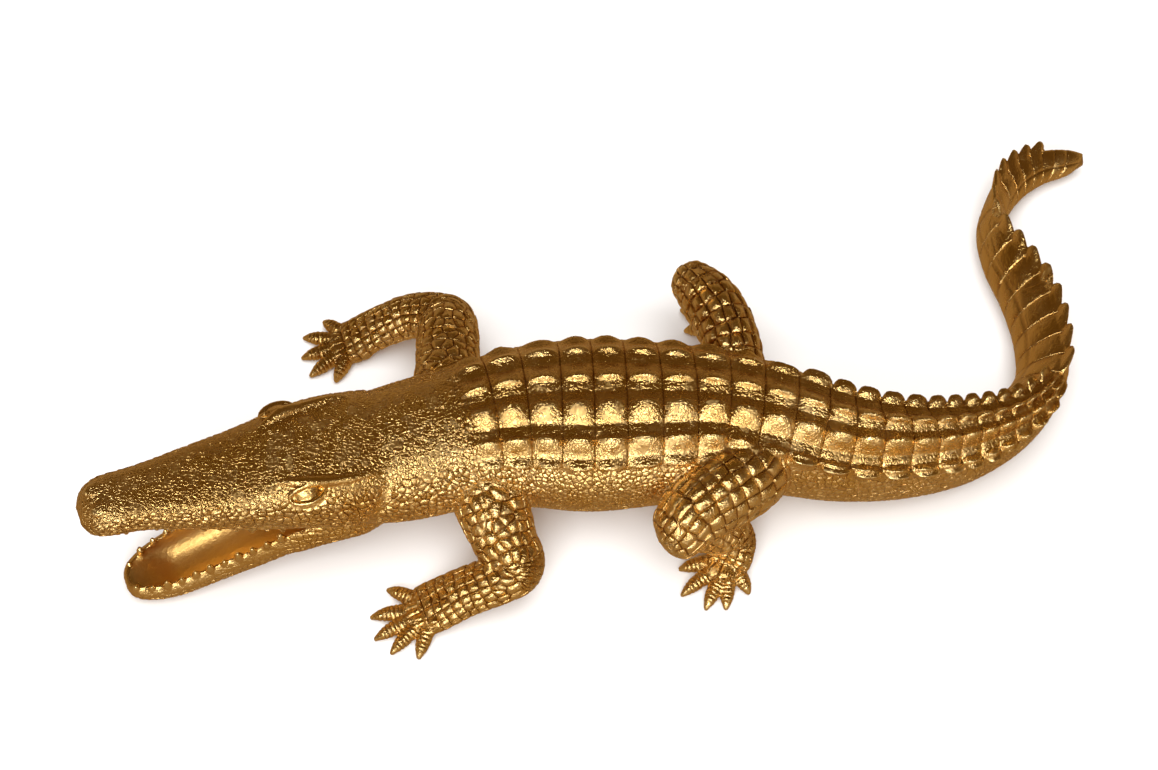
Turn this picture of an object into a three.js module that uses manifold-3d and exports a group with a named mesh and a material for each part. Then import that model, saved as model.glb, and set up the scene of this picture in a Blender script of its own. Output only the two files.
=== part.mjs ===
// Crocodile figure, cast in one piece: walking stance, open jaws, the tail curled in an S.
// Millimetres, +Z up. The nose points toward -X and the animal's left side faces -Y.
import * as THREE from 'three';
import { mergeVertices } from 'three/addons/utils/BufferGeometryUtils.js';
import Module from 'manifold-3d';

const DEG = Math.PI / 180;

// Body
// Spine stations from the nape to the tail tip:
// x, y, z of the centre, half width, half height, lean of the back toward the left side in degrees
const SPINE = [
  [-152, -90, 56, 34, 26, 0],
  [-133, -83, 54, 38, 30, 0],
  [-105, -75, 51, 42, 34, 0],
  [-70, -64, 49, 44, 36, 0],
  [-31, -56, 48, 50, 38, 0],
  [6, -54, 47, 54, 39, 0],
  [44, -53, 47, 51, 38, 0],
  [82, -52, 45, 45, 37, 2],
  [120, -56, 42, 38, 36, 6],
  [156, -62, 38, 33, 34, 10],
  [194, -62, 34, 28, 31, 12],
  [231, -54, 30, 23, 28, 14],
  [263, -38, 27, 16.5, 25, 18],
  [282, -12, 25, 13, 22, 24],
  [284, 19, 24, 11, 20, 30],
  [278, 50, 23, 10, 18.5, 34],
  [267, 78, 22, 9, 16.5, 26],
  [262, 103, 20, 8, 14.5, 6],
  [268, 124, 18, 7.5, 13, -18],
  [281, 142, 16, 7, 12, -36],
  [298, 154, 14, 6, 11, -42],
  [316, 160, 12, 5, 9, -38],
  [329, 164, 10, 2.5, 4, -34],
];
const BELLY_POINTS = 3; // points of a section between the side plates and the middle of the belly
const RIB_SPACING = 21; // distance between the sections of the neck
const ROW_STEP = 11.25; // degrees between the ridge of a plate row and the groove beside it
const ROWS_PER_SIDE = 3;
// how far the plate rows spread round the section, by distance along the spine
const ROW_SPREADS = [[235, 1], [290, 1.3], [330, 1.5], [385, 1.6], [425, 1.42], [450, 1.05], [470, 0.6]];
const TAIL_NARROWING = 0.32; // how much narrower the tail is at its crest than at its middle
const CURVE_STEPS = 40; // measuring steps between two spine stations
const DIRECTION_REACH = 12; // measuring steps to each side that give the spine's direction

// Plates and crest, measured along the spine
const PLATES_START = 88.5;
const PLATES_ONSET = 18; // length over which the plates rise out of the neck
const HIPS_AT = 275;
const CREST_MERGE_AT = 455; // where the double crest becomes a single one
const CREST_END = 22; // length of the tail tip without a crest
// length of a plate by its distance along the spine
const PLATE_LENGTHS = [
  [88, 18.6], [125, 20], [150, 19.4], [270, 19], [300, 17], [345, 15.8], [362, 13.4], [385, 11.4],
  [435, 10.4], [462, 14.5], [560, 14.5], [640, 8.5],
];
const RIDGE_HEIGHT = 4;
const RIDGE_HIGHEST = 0.55; // where along a plate its ridge is highest
const TAIL_RIDGE_GROWTH = 0.4; // how much higher the ridges are on the base of the tail
const SEAM_RIDGE = 0.15; // share of the ridge that is left in the groove between two plates
const GROOVE_DEPTH = 0.7;
const PLATED_HALF = 75; // degrees from the middle of the back within which grooves are cut
const CREST_HEIGHT = 10;
const CREST_FLARE = 15; // degrees that the double crest leans outward from the skin's own direction
const CREST_SINGLE_HEIGHT = 9;
const CREST_THICKNESS = 2.2; // half of the foot of a crest plate
const CREST_ROOT = 3; // depth of a crest plate's foot in the tail
const TIP_TAPER = 70; // length at the tail tip over which the crest gets lower

// Head: forward distance from the nape along the heading, height, half sizes
const HEAD_ORIGIN = [-133, -82];
const HEADING = 21.5 * DEG; // turn of the head toward the animal's left
// forward, height of the centre, half width, rise above the centre, drop below it
const UPPER_JAW = [
  [-22, 53, 37, 29, 24],
  [0, 57, 39.5, 31, 24],
  [18, 62, 39, 29, 21],
  [34, 66.5, 36.5, 27.5, 18],
  [48, 70.5, 33, 23.5, 19],
  [66, 75.5, 29.5, 19.5, 17.5],
  [88, 82, 25.5, 16.5, 11.5],
  [110, 88.5, 21, 14, 9],
  [126, 93.5, 18.5, 12.5, 8],
  [138, 96, 17.8, 11.5, 8],
  [146, 96, 15.5, 9.5, 7.5],
  [151, 95, 12, 7, 6.5],
  [154, 94, 6, 4, 4],
];
const LOWER_JAW = [
  [-30, 42, 31, 16, 17],
  [0, 38, 37, 16, 21],
  [14, 34.5, 35.5, 19, 17.5],
  [30, 31, 32, 22, 15.5],
  [41, 28, 29.8, 20, 15],
  [50, 26, 27.5, 16, 14.5],
  [70, 20, 24.8, 13.5, 13],
  [92, 14.5, 22.3, 12, 12],
  [113, 10, 20.5, 10.5, 10],
  [125, 8.7, 18.3, 9, 9],
  [133, 8, 15.5, 7.5, 8],
  [139, 7.7, 12.3, 6, 7],
  [144.3, 7.5, 5, 3, 4],
];
const JAW_SIDEWAYS = 0.028; // how far the lower jaw stands to the left for each millimetre forward
const HOLLOW_FROM = 2; // first row of the lower jaw's table that the hollow reaches
const HOLLOW_END = 2; // rows at the chin that it leaves solid
const JAW_WALL = 7;
const LIP = 5.5; // distance of the teeth from the side of the jaw
const JAW_HOLLOW_RISE = 26; // how far the hollow of the lower jaw is open above its rim
const JAW_HOLLOW_DEPTH = 0.75; // depth of the hollow as a share of the jaw's depth
const UPPER_TEETH_ROWS = [5, 9.4]; // stretch of the jaw table that carries teeth
const LOWER_TEETH_ROWS = [5, 10.8];
const EYE = { forward: 32, side: 28, height: 85, size: 6.5 };
const BROW = { forward: 22, side: 21.5, above: 3.5, length: 25, width: 4, height: 4 };
const NOSTRIL = { forward: 141, side: 6.5, height: 106, length: 6.5, width: 4.4, rise: 2.9 };
const TOOTH_HEIGHT = 5;
const TOOTH_RADIUS = 1.7;
const TEETH_PER_SIDE = 7;

// Legs: x, y, z, half width, half height of the limb at each station
const LEFT_FORE_LEG = [
  [-56, -84, 47, 24, 22],
  [-50, -106, 43, 22, 19],
  [-43, -124, 36, 19, 16],
  [-37, -137, 28, 17, 16],
  [-50, -144, 22, 15, 14],
  [-66, -148, 16, 15, 12],
  [-82, -153, 9, 16, 9],
  [-93, -157, 6, 16, 6],
];
const RIGHT_FORE_LEG = [
  [-78, -38, 47, 22, 22],
  [-79, -12, 43, 19.5, 19],
  [-80, 14, 37, 19, 17],
  [-83, 29, 29, 17, 16],
  [-102, 36, 23, 14, 14],
  [-120, 34, 16, 13.5, 12],
  [-137, 29, 9, 14, 8.5],
  [-147, 26, 6, 14, 6],
];
const LEFT_THIGH = [
  [110, -72, 44, 22, 25],
  [98, -88, 48, 23, 26],
  [81, -102, 50, 22, 26],
  [64, -116, 50, 19.5, 22],
  [54, -128, 45, 16, 16],
  [47, -134, 42, 9, 9],
];
const LEFT_SHANK = [
  [62, -118, 42, 15, 15],
  [78, -112, 28, 16, 15],
  [90, -113, 15, 14, 13],
  [85, -124, 7, 17, 7],
];
const RIGHT_THIGH = [
  [94, -24, 46, 18, 24],
  [92, -4, 49, 17.5, 22.5],
  [87, 14, 51, 17.5, 21.5],
  [79, 30, 51, 17, 20],
  [71, 43, 48, 13.5, 14],
  [66, 51, 45, 8, 8],
];
const RIGHT_SHANK = [
  [76, 32, 42, 13, 14],
  [86, 28, 28, 14, 14],
  [96, 28, 15, 13, 12],
  [90, 38, 8, 15, 8],
];
// toe tips on the ground, in order across the foot
const LEFT_FORE_FOOT = {
  palm: [-84, -153],
  toes: [[-113, -140], [-122, -158], [-119, -172], [-109, -181], [-93, -184]],
};
const RIGHT_FORE_FOOT = {
  palm: [-139, 27],
  toes: [[-151, 1], [-167, 5], [-173, 18], [-173, 33], [-161, 45]],
};
const LEFT_HIND_FOOT = {
  palm: [89, -121],
  toes: [[59, -127], [60, -144], [74, -153], [86, -153], [100, -143]],
};
const RIGHT_HIND_FOOT = {
  palm: [90, 38],
  toes: [[66, 38], [64, 54], [72, 64], [84, 67], [96, 60]],
};
const TOE_RADIUS = 4.6;
const TOE_TIP_RADIUS = 1.1;
const WEB_REACH = 0.56; // how far along the toes the web between them goes
const WEB_THICKNESS = 4.5;
const SMALLEST_DETAIL = 0.3; // slivers under this size along the joints between forms are smoothed away

const vector = (x, y, z) => new THREE.Vector3(x, y, z);

// Smooth value of one column of a table at a fractional row number
function column(rows, index, at) {
  const last = rows.length - 1;
  const row = Math.min(Math.max(Math.floor(at), 0), last - 1);
  const t = at - row;
  const value = (r) => rows[Math.min(Math.max(r, 0), last)][index];
  const [a, b, c, d] = [value(row - 1), value(row), value(row + 1), value(row + 2)];
  const square = 2 * a - 5 * b + 4 * c - d;
  const cube = 3 * b - a - 3 * c + d;
  return b + 0.5 * t * (c - a + t * (square + t * cube));
}

const smoothstep = (from, to, x) => {
  const t = Math.min(Math.max((x - from) / (to - from), 0), 1);
  return t * t * (3 - 2 * t);
};

// Closed body through rings of equal point count, with a fan on both ends
function loft(rings) {
  const positions = [];
  const count = rings[0].length;
  for (const ring of rings) {
    for (const p of ring) positions.push(p.x, p.y, p.z);
  }
  const centre = (ring) => ring.reduce((sum, p) => sum.add(p), vector(0, 0, 0)).divideScalar(count);
  const first = centre(rings[0]);
  const last = centre(rings[rings.length - 1]);
  positions.push(first.x, first.y, first.z, last.x, last.y, last.z);
  const index = [];
  const capA = rings.length * count;
  const capB = capA + 1;
  for (let k = 0; k < count; k += 1) {
    const next = (k + 1) % count;
    for (let r = 0; r < rings.length - 1; r += 1) {
      const a = r * count;
      const b = a + count;
      index.push(a + k, a + next, b + next, a + k, b + next, b + k);
    }
    const z = (rings.length - 1) * count;
    index.push(capA, next, k, capB, z + k, z + next);
  }
  const geometry = new THREE.BufferGeometry();
  geometry.setAttribute('position', new THREE.Float32BufferAttribute(positions, 3));
  geometry.setIndex(index);
  return geometry;
}

const wasm = await Module();
wasm.setup();

// The closed body of a geometry, turned the right way out
function solid(source) {
  const copy = source.clone();
  for (const name of ['normal', 'uv']) copy.deleteAttribute(name);
  const geometry = mergeVertices(copy, 1e-4);
  const build = (triVerts) => new wasm.Manifold(new wasm.Mesh({
    numProp: 3, vertProperties: new Float32Array(geometry.attributes.position.array), triVerts,
  }));
  const triangles = new Uint32Array(geometry.index.array);
  const body = build(triangles);
  if (body.volume() > 0) return body;
  return build(triangles.map((_, i) => triangles[i - (i % 3) + 2 - (i % 3)]));
}

function geometryOf(body) {
  const mesh = body.getMesh();
  const positions = [];
  for (let i = 0; i < mesh.numVert; i += 1) {
    const at = i * mesh.numProp;
    positions.push(mesh.vertProperties[at], mesh.vertProperties[at + 1], mesh.vertProperties[at + 2]);
  }
  const geometry = new THREE.BufferGeometry();
  geometry.setAttribute('position', new THREE.Float32BufferAttribute(positions, 3));
  geometry.setIndex([...mesh.triVerts]);
  geometry.computeVertexNormals();
  return geometry;
}

// Places along the spine by arc length
function spineTable() {
  const places = [];
  let length = 0;
  let before = null;
  for (let i = 0; i <= (SPINE.length - 1) * CURVE_STEPS; i += 1) {
    const row = i / CURVE_STEPS;
    const p = vector(column(SPINE, 0, row), column(SPINE, 1, row), column(SPINE, 2, row));
    if (before) length += p.distanceTo(before);
    places.push({ row, length, p });
    before = p;
  }
  return places;
}
const PLACES = spineTable();
const SPINE_LENGTH = PLACES[PLACES.length - 1].length;

function spineAt(distance) {
  let i = PLACES.findIndex((place) => place.length >= distance);
  i = i < 1 ? 1 : i;
  const [a, b] = [PLACES[i - 1], PLACES[i]];
  const row = a.row + (b.row - a.row) * (distance - a.length) / (b.length - a.length);
  const ahead = Math.min(i + DIRECTION_REACH, PLACES.length - 1);
  const behind = Math.max(i - DIRECTION_REACH, 0);
  const along = PLACES[ahead].p.clone().sub(PLACES[behind].p).normalize();
  const level = along.clone().cross(vector(0, 0, 1)).normalize();
  const straight = level.clone().cross(along).normalize();
  const lean = column(SPINE, 5, row) * DEG;
  const up = straight.clone().multiplyScalar(Math.cos(lean)).addScaledVector(level, Math.sin(lean));
  const side = level.clone().multiplyScalar(Math.cos(lean)).addScaledVector(straight, -Math.sin(lean));
  return {
    p: vector(column(SPINE, 0, row), column(SPINE, 1, row), column(SPINE, 2, row)),
    along, up, side, width: column(SPINE, 3, row), height: column(SPINE, 4, row),
  };
}

// Value at a distance along the spine from a short list of distances and values
function valueAt(list, distance) {
  const next = list.findIndex(([place]) => place > distance);
  if (next === 0) return list[0][1];
  if (next < 0) return list[list.length - 1][1];
  const [[a, low], [b, high]] = [list[next - 1], list[next]];
  return low + (high - low) * (distance - a) / (b - a);
}

// Heights of the ridge of each pair of rows, from the middle outward
function ridgeHeights(distance) {
  const onset = smoothstep(PLATES_START - PLATES_ONSET, PLATES_START + PLATES_ONSET / 2, distance);
  const tail = smoothstep(HIPS_AT, HIPS_AT + 60, distance);
  const merged = smoothstep(CREST_MERGE_AT - 25, CREST_MERGE_AT + 15, distance);
  const outer = 1 - smoothstep(HIPS_AT - 30, HIPS_AT + 30, distance);
  const inner = RIDGE_HEIGHT * onset * (1 + TAIL_RIDGE_GROWTH * tail) * (1 - merged);
  return [inner, inner, RIDGE_HEIGHT * 0.7 * onset * outer];
}

// The angles of one half section, from the back's middle line down, with the ridge height of each
function halfSection(distance) {
  const step = ROW_STEP * valueAt(ROW_SPREADS, distance);
  const heights = ridgeHeights(distance);
  const half = [];
  const edge = step * 2 * ROWS_PER_SIDE;
  for (let row = 0; row < ROWS_PER_SIDE; row += 1) {
    half.push({ angle: step * (2 * row + 1), ridge: heights[row] });
    half.push({ angle: step * (2 * row + 2), ridge: 0 });
  }
  for (let k = 1; k <= BELLY_POINTS; k += 1) {
    half.push({ angle: edge + (180 - edge) * k / (BELLY_POINTS + 1), ridge: 0 });
  }
  return half;
}

// A point of the skin at an angle from the back's middle line, positive toward the left side
function skinPoint(place, distance, angle, raise) {
  const narrowing = TAIL_NARROWING * smoothstep(HIPS_AT - 20, HIPS_AT + 120, distance);
  const c = Math.cos(angle * DEG);
  const s = Math.sin(angle * DEG);
  const across = (place.width * (1 - narrowing * c) + raise) * s;
  const upward = (place.height + raise) * c;
  return place.p.clone().addScaledVector(place.side, across).addScaledVector(place.up, upward);
}

function bodyRing(distance, raised) {
  const place = spineAt(distance);
  const half = halfSection(distance);
  const groove = distance > PLATES_START - PLATES_ONSET ? -GROOVE_DEPTH : 0;
  const raise = (part) => {
    if (part.ridge > 0) return part.ridge * raised;
    return part.angle < PLATED_HALF ? groove : 0;
  };
  const ring = [skinPoint(place, distance, 0, groove)];
  for (const part of half) ring.push(skinPoint(place, distance, part.angle, raise(part)));
  ring.push(skinPoint(place, distance, 180, 0));
  for (const part of half.slice().reverse()) ring.push(skinPoint(place, distance, -part.angle, raise(part)));
  return ring;
}

// Distances along the spine of the grooves between plates
function plateSeams() {
  const seams = [];
  let at = PLATES_START;
  const [, shortest] = PLATE_LENGTHS[PLATE_LENGTHS.length - 1];
  while (at < SPINE_LENGTH - shortest * 0.7) {
    seams.push(at);
    at += valueAt(PLATE_LENGTHS, at);
  }
  return seams;
}

function trunkAndTail() {
  const seams = plateSeams();
  const rings = [];
  for (let at = 0; at < PLATES_START - RIB_SPACING / 3; at += RIB_SPACING) rings.push(bodyRing(at, 0));
  seams.forEach((seam, i) => {
    const next = i + 1 < seams.length ? seams[i + 1] : SPINE_LENGTH;
    const length = next - seam;
    rings.push(bodyRing(seam, SEAM_RIDGE));
    rings.push(bodyRing(seam + length * RIDGE_HIGHEST, 1));
  });
  rings.push(bodyRing(SPINE_LENGTH - 0.5, 0));
  return solid(loft(rings));
}

// One plate of the crest: its foot sits in the tail, its top slants back and leans outward by a tilt
function crestPlate(from, to, angle, tilt, height) {
  const corner = (distance, raise, offset) => {
    const place = spineAt(distance);
    return skinPoint(place, distance, angle, 0)
      .addScaledVector(place.up, raise * Math.cos(tilt * DEG) - offset * Math.sin(tilt * DEG))
      .addScaledVector(place.side, raise * Math.sin(tilt * DEG) + offset * Math.cos(tilt * DEG));
  };
  const length = to - from;
  const bottomBack = to - length * 0.04;
  const low = [
    corner(from, -CREST_ROOT, -CREST_THICKNESS), corner(from, -CREST_ROOT, CREST_THICKNESS),
    corner(bottomBack, -CREST_ROOT, CREST_THICKNESS), corner(bottomBack, -CREST_ROOT, -CREST_THICKNESS),
  ];
  const thin = CREST_THICKNESS * 0.35;
  const slant = smoothstep(CREST_MERGE_AT - 60, CREST_MERGE_AT, from);
  const topFrom = from + length * (0.25 + 0.3 * slant);
  const topTo = to + length * (0.24 * slant - 0.12);
  const high = [
    corner(topFrom, height * 0.9, -thin), corner(topFrom, height * 0.9, thin),
    corner(topTo, height, thin), corner(topTo, height, -thin),
  ];
  return solid(loft([low, high]));
}

function crest() {
  const seams = plateSeams();
  const plates = [];
  seams.forEach((seam, i) => {
    const next = i + 1 < seams.length ? seams[i + 1] : SPINE_LENGTH;
    if (seam < HIPS_AT - 20 || next > SPINE_LENGTH - CREST_END) return;
    if (seam < CREST_MERGE_AT - 10) {
      const angle = ROW_STEP * 3 * valueAt(ROW_SPREADS, seam);
      const flare = CREST_FLARE * (1 - smoothstep(CREST_MERGE_AT - 40, CREST_MERGE_AT, seam));
      const height = CREST_HEIGHT * smoothstep(HIPS_AT - 60, HIPS_AT + 50, seam);
      plates.push(crestPlate(seam, next, -angle, -angle - flare, height));
      plates.push(crestPlate(seam, next, angle, angle + flare, height));
    } else {
      const fade = 1 - 0.45 * smoothstep(SPINE_LENGTH - TIP_TAPER, SPINE_LENGTH, seam);
      plates.push(crestPlate(seam, next, 0, 0, CREST_SINGLE_HEIGHT * fade));
    }
  });
  return plates;
}

const FORWARD = vector(-Math.cos(HEADING), -Math.sin(HEADING), 0);
const LEFT = vector(0, 0, 1).cross(FORWARD);

function headPoint(forward, left, height) {
  return vector(HEAD_ORIGIN[0], HEAD_ORIGIN[1], 0)
    .addScaledVector(FORWARD, forward).addScaledVector(LEFT, left).add(vector(0, 0, height));
}

// Ring of a jaw section: powers under 1 square its upper and lower half
function jawRing(rows, row, points, [topPower, bottomPower], sideways) {
  const [forward, height, width, rise, drop] = [0, 1, 2, 3, 4].map((i) => column(rows, i, row));
  const ring = [];
  for (let k = 0; k < points; k += 1) {
    const angle = 2 * Math.PI * k / points;
    const c = Math.cos(angle);
    const s = Math.sin(angle);
    const power = c > 0 ? topPower : bottomPower;
    const across = Math.sign(s) * Math.abs(s) ** power * width;
    const upward = Math.sign(c) * Math.abs(c) ** power * (c > 0 ? rise : drop);
    ring.push(headPoint(forward, across + sideways * forward, height + upward));
  }
  return ring;
}

function jaw(rows, points, powers, sideways) {
  return solid(loft(rows.map((_, row) => jawRing(rows, row, points, powers, sideways))));
}

// The hollow of the lower jaw between its rims
function jawHollow() {
  const rows = LOWER_JAW.slice(HOLLOW_FROM, -HOLLOW_END).map(([forward, height, width, rise, drop]) => [
    forward, height + rise, width - JAW_WALL, JAW_HOLLOW_RISE, drop * JAW_HOLLOW_DEPTH + rise,
  ]);
  return jaw(rows, 12, [0.5, 0.8], JAW_SIDEWAYS);
}

function ellipsoid(centre, length, width, height) {
  const ball = new THREE.SphereGeometry(1, 6, 5);
  ball.scale(length, width, height);
  ball.rotateZ(HEADING);
  ball.translate(centre.x, centre.y, centre.z);
  return solid(ball);
}

function tooth(at, direction) {
  const cone = new THREE.ConeGeometry(TOOTH_RADIUS, TOOTH_HEIGHT, 4);
  cone.rotateX(direction > 0 ? Math.PI / 2 : -Math.PI / 2);
  cone.translate(at.x, at.y, at.z + direction * TOOTH_HEIGHT * 0.3);
  return solid(cone);
}

// Teeth along both sides of a jaw; lift gives how high above the jaw's centre a tooth stands
function teethOf(jawRows, [from, to], direction, sideways, lift) {
  const teeth = [];
  for (const sign of [-1, 1]) {
    for (let i = 0; i < TEETH_PER_SIDE; i += 1) {
      const row = from + (to - from) * i / (TEETH_PER_SIDE - 1);
      const [forward, height, width, rise, drop] = [0, 1, 2, 3, 4].map((k) => column(jawRows, k, row));
      const across = sign * (width - LIP) + sideways * forward;
      teeth.push(tooth(headPoint(forward, across, height + lift(rise, drop)), direction));
    }
  }
  return teeth;
}

function head() {
  const parts = [
    jaw(UPPER_JAW, 14, [0.8, 0.62], 0),
    jaw(LOWER_JAW, 14, [0.75, 0.85], JAW_SIDEWAYS).subtract(jawHollow()),
    ...teethOf(LOWER_JAW, LOWER_TEETH_ROWS, 1, JAW_SIDEWAYS, (rise) => rise * 0.7),
    ...teethOf(UPPER_JAW, UPPER_TEETH_ROWS, -1, 0, (rise, drop) => -drop * 0.8),
  ];
  for (const sign of [-1, 1]) {
    const eye = headPoint(EYE.forward, sign * EYE.side, EYE.height);
    const brow = headPoint(BROW.forward, sign * BROW.side, EYE.height + BROW.above);
    const nostril = headPoint(NOSTRIL.forward, sign * NOSTRIL.side, NOSTRIL.height);
    parts.push(ellipsoid(eye, EYE.size, EYE.size * 0.75, EYE.size * 0.7));
    parts.push(ellipsoid(brow, BROW.length, BROW.width, BROW.height));
    parts.push(ellipsoid(nostril, NOSTRIL.length, NOSTRIL.width, NOSTRIL.rise));
  }
  return parts;
}

function limb(rows, points, steps) {
  const rings = [];
  const count = (rows.length - 1) * steps;
  for (let i = 0; i <= count; i += 1) {
    const row = i / steps;
    const at = (r) => vector(column(rows, 0, r), column(rows, 1, r), column(rows, 2, r));
    const last = rows.length - 1;
    const along = at(Math.min(row + 0.1, last)).sub(at(Math.max(row - 0.1, 0))).normalize();
    const across = along.clone().cross(vector(0, 0, 1)).normalize();
    const up = across.clone().cross(along).normalize();
    const ring = [];
    for (let k = 0; k < points; k += 1) {
      const angle = 2 * Math.PI * k / points;
      ring.push(at(row)
        .addScaledVector(across, Math.cos(angle) * column(rows, 3, row))
        .addScaledVector(up, Math.sin(angle) * column(rows, 4, row)));
    }
    rings.push(ring);
  }
  return solid(loft(rings));
}

function toe(palm, tip) {
  const at = (t, z) => [palm[0] + (tip[0] - palm[0]) * t, palm[1] + (tip[1] - palm[1]) * t, z];
  const knuckle = TOE_RADIUS * 0.86;
  return limb([
    [...at(0.32, 5.6), TOE_RADIUS * 1.05, TOE_RADIUS],
    [...at(0.78, 3.8), knuckle, knuckle],
    [...at(1, 1.6), TOE_TIP_RADIUS, TOE_TIP_RADIUS * 1.4],
  ], 6, 1);
}

// The sole and the webs between the toes
function web(foot) {
  const outline = new THREE.Shape();
  const [px, py] = foot.palm;
  const part = (tip, t) => [px + (tip[0] - px) * t, py + (tip[1] - py) * t];
  const first = foot.toes[0];
  const last = foot.toes[foot.toes.length - 1];
  const heel = [px - (first[0] + last[0] - 2 * px) * 0.16, py - (first[1] + last[1] - 2 * py) * 0.16];
  outline.moveTo(...heel);
  foot.toes.forEach((tip, i) => {
    outline.lineTo(...part(tip, WEB_REACH + 0.2));
    if (i + 1 < foot.toes.length) {
      const next = foot.toes[i + 1];
      outline.lineTo(...part([(tip[0] + next[0]) / 2, (tip[1] + next[1]) / 2], WEB_REACH));
    }
  });
  outline.closePath();
  const plate = new THREE.ExtrudeGeometry(outline, { depth: WEB_THICKNESS, bevelEnabled: false });
  return solid(plate);
}

function leg(limbs, foot) {
  const parts = limbs.map((rows) => limb(rows, 8, 2));
  for (const tip of foot.toes) parts.push(toe(foot.palm, tip));
  parts.push(web(foot));
  return parts;
}

function crocodile() {
  const parts = [
    trunkAndTail(),
    ...crest(),
    ...head(),
    ...leg([LEFT_FORE_LEG], LEFT_FORE_FOOT),
    ...leg([RIGHT_FORE_LEG], RIGHT_FORE_FOOT),
    ...leg([LEFT_THIGH, LEFT_SHANK], LEFT_HIND_FOOT),
    ...leg([RIGHT_THIGH, RIGHT_SHANK], RIGHT_HIND_FOOT),
  ];
  const below = new THREE.BoxGeometry(900, 600, 60);
  below.translate(0, 0, -30);
  return wasm.Manifold.union(parts).subtract(solid(below)).simplify(SMALLEST_DETAIL);
}

const figure = new THREE.Mesh(
  geometryOf(crocodile()),
  new THREE.MeshStandardMaterial({ color: 0xc8963c, roughness: 0.34, metalness: 0.85 }),
);
figure.name = 'crocodile';
figure.geometry.computeBoundingBox();
const box = figure.geometry.boundingBox;
figure.position.set(-(box.min.x + box.max.x) / 2, -(box.min.y + box.max.y) / 2, 0);

const group = new THREE.Group();
group.add(figure);
export default group;
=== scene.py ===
"""Looks of the crocodile figure: the skin with its scales, plates and crest in one cast piece, gold finish,
pale floor and soft light. Sizes are in millimetres and degrees, and become metres where objects are made."""

import math

import bmesh
import bpy
import numpy as np
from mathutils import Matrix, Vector


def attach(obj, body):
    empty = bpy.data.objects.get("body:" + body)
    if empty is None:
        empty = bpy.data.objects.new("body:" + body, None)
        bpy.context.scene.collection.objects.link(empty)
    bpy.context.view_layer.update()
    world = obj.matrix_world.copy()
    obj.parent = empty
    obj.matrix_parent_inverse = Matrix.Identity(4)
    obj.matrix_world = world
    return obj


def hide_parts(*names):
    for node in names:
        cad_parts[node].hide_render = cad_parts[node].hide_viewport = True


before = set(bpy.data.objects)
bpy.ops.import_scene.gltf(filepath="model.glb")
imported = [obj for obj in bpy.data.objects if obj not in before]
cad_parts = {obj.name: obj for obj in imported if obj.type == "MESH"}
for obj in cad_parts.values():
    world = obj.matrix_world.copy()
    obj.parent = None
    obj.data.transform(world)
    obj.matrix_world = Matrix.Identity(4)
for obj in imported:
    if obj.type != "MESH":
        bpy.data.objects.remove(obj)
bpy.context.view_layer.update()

MM = 0.001
CENTRE_SHIFT = np.array([-25.505, 8.297, 0.0])  # puts the middle of the footprint at the origin
MOST_TRIANGLES = 196000
VOXEL = 0.6
SECTION_STEP = 0.8
LIMB_STEP = 0.9
JOINT_REACH = (1.0, 5.0)
LEAST_RATIO = 1e-3  # keeps divisions away from zero

# Spine stations from the nape to the tail tip:
# x, y, z of the centre, half width, half height, lean of the back toward the left side in degrees
SPINE_STATIONS = [
    [-152, -90, 56, 34, 26, 0], [-133, -83, 54, 38, 30, 0], [-105, -75, 51, 42, 34, 0],
    [-70, -64, 49, 44, 36, 0], [-31, -56, 48, 50, 38, 0], [6, -54, 47, 54, 39, 0],
    [44, -53, 47, 51, 38, 0], [82, -52, 45, 45, 37, 2], [120, -56, 42, 38, 36, 6],
    [156, -62, 38, 33, 34, 10], [194, -62, 34, 28, 31, 12], [231, -54, 30, 23, 28, 14],
    [263, -38, 27, 16.5, 25, 18], [282, -12, 25, 13, 22, 24], [284, 19, 24, 11, 20, 30],
    [278, 50, 23, 10, 18.5, 34], [267, 78, 22, 9, 16.5, 26], [262, 103, 20, 8, 14.5, 6],
    [268, 124, 18, 7.5, 13, -18], [281, 142, 16, 7, 12, -36], [298, 154, 14, 6, 11, -42],
    [316, 160, 12, 5, 9, -38], [329, 164, 10, 2.5, 4, -34],
]
CURVE_STEPS = 40
SPINE_REACH = 12
LIMB_REACH = 10
LIMB_ROUNDING = {"fore": 3, "thigh": 9, "shank": 3}
TAIL_NARROWING = 0.32

# Plate rows and crest, measured along the spine
PLATES_START = 88.5
PLATES_ONSET = 18
HIPS_AT = 275
CREST_MERGE_AT = 455
CREST_END = 22
ROW_STEP = 11.25
# How far the plate rows spread round the section, by distance along the spine
ROW_SPREADS = [[235, 1], [290, 1.3], [330, 1.5], [385, 1.6], [425, 1.42], [450, 1.05], [470, 0.6]]
# Length of a plate by its distance along the spine
PLATE_LENGTHS = [
    [88, 18.6], [125, 20], [150, 19.4], [270, 19], [300, 17], [345, 15.8], [362, 13.4], [385, 11.4],
    [435, 10.4], [462, 14.5], [560, 14.5], [640, 8.5],
]
SEAM_BEND = 1.6  # how far the seams bend toward the head
SEAM_BEND_ANGLE = 60  # where they have bent that far, from the middle of the back
PLATE_SWELL = 1.7
PLATE_GAP = 0.04  # share of a plate's length that stays flat at each end
ARMOUR_ROWS = 2.33  # width of the plates on each side in rows, the outer plates being wider than one
OUTER_RISE = 3.5
OUTER_RIM = 0.8
KEEL_HEIGHT = 3.5
KEEL_AT = -0.3  # place of the keel's crest, -1 and 1 at the sides of the row
KEEL_REACH = 0.95
KEEL_BOW = 0.12  # how far its ends bend outward
KEEL_FACE = 0.13  # breadth of its steep face
TAIL_FIN_GROWTH = 0.5
GROOVE_DEPTH = 0.7
CREST_LEAD = 50  # how far before the hips the double crest starts
CREST_HEIGHT = 8.4
CREST_FLARE = 18  # degrees that the double crest leans outward from the skin's own direction at its foot
CREST_CURL = 7  # degrees that it curls up again toward its edge
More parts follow.
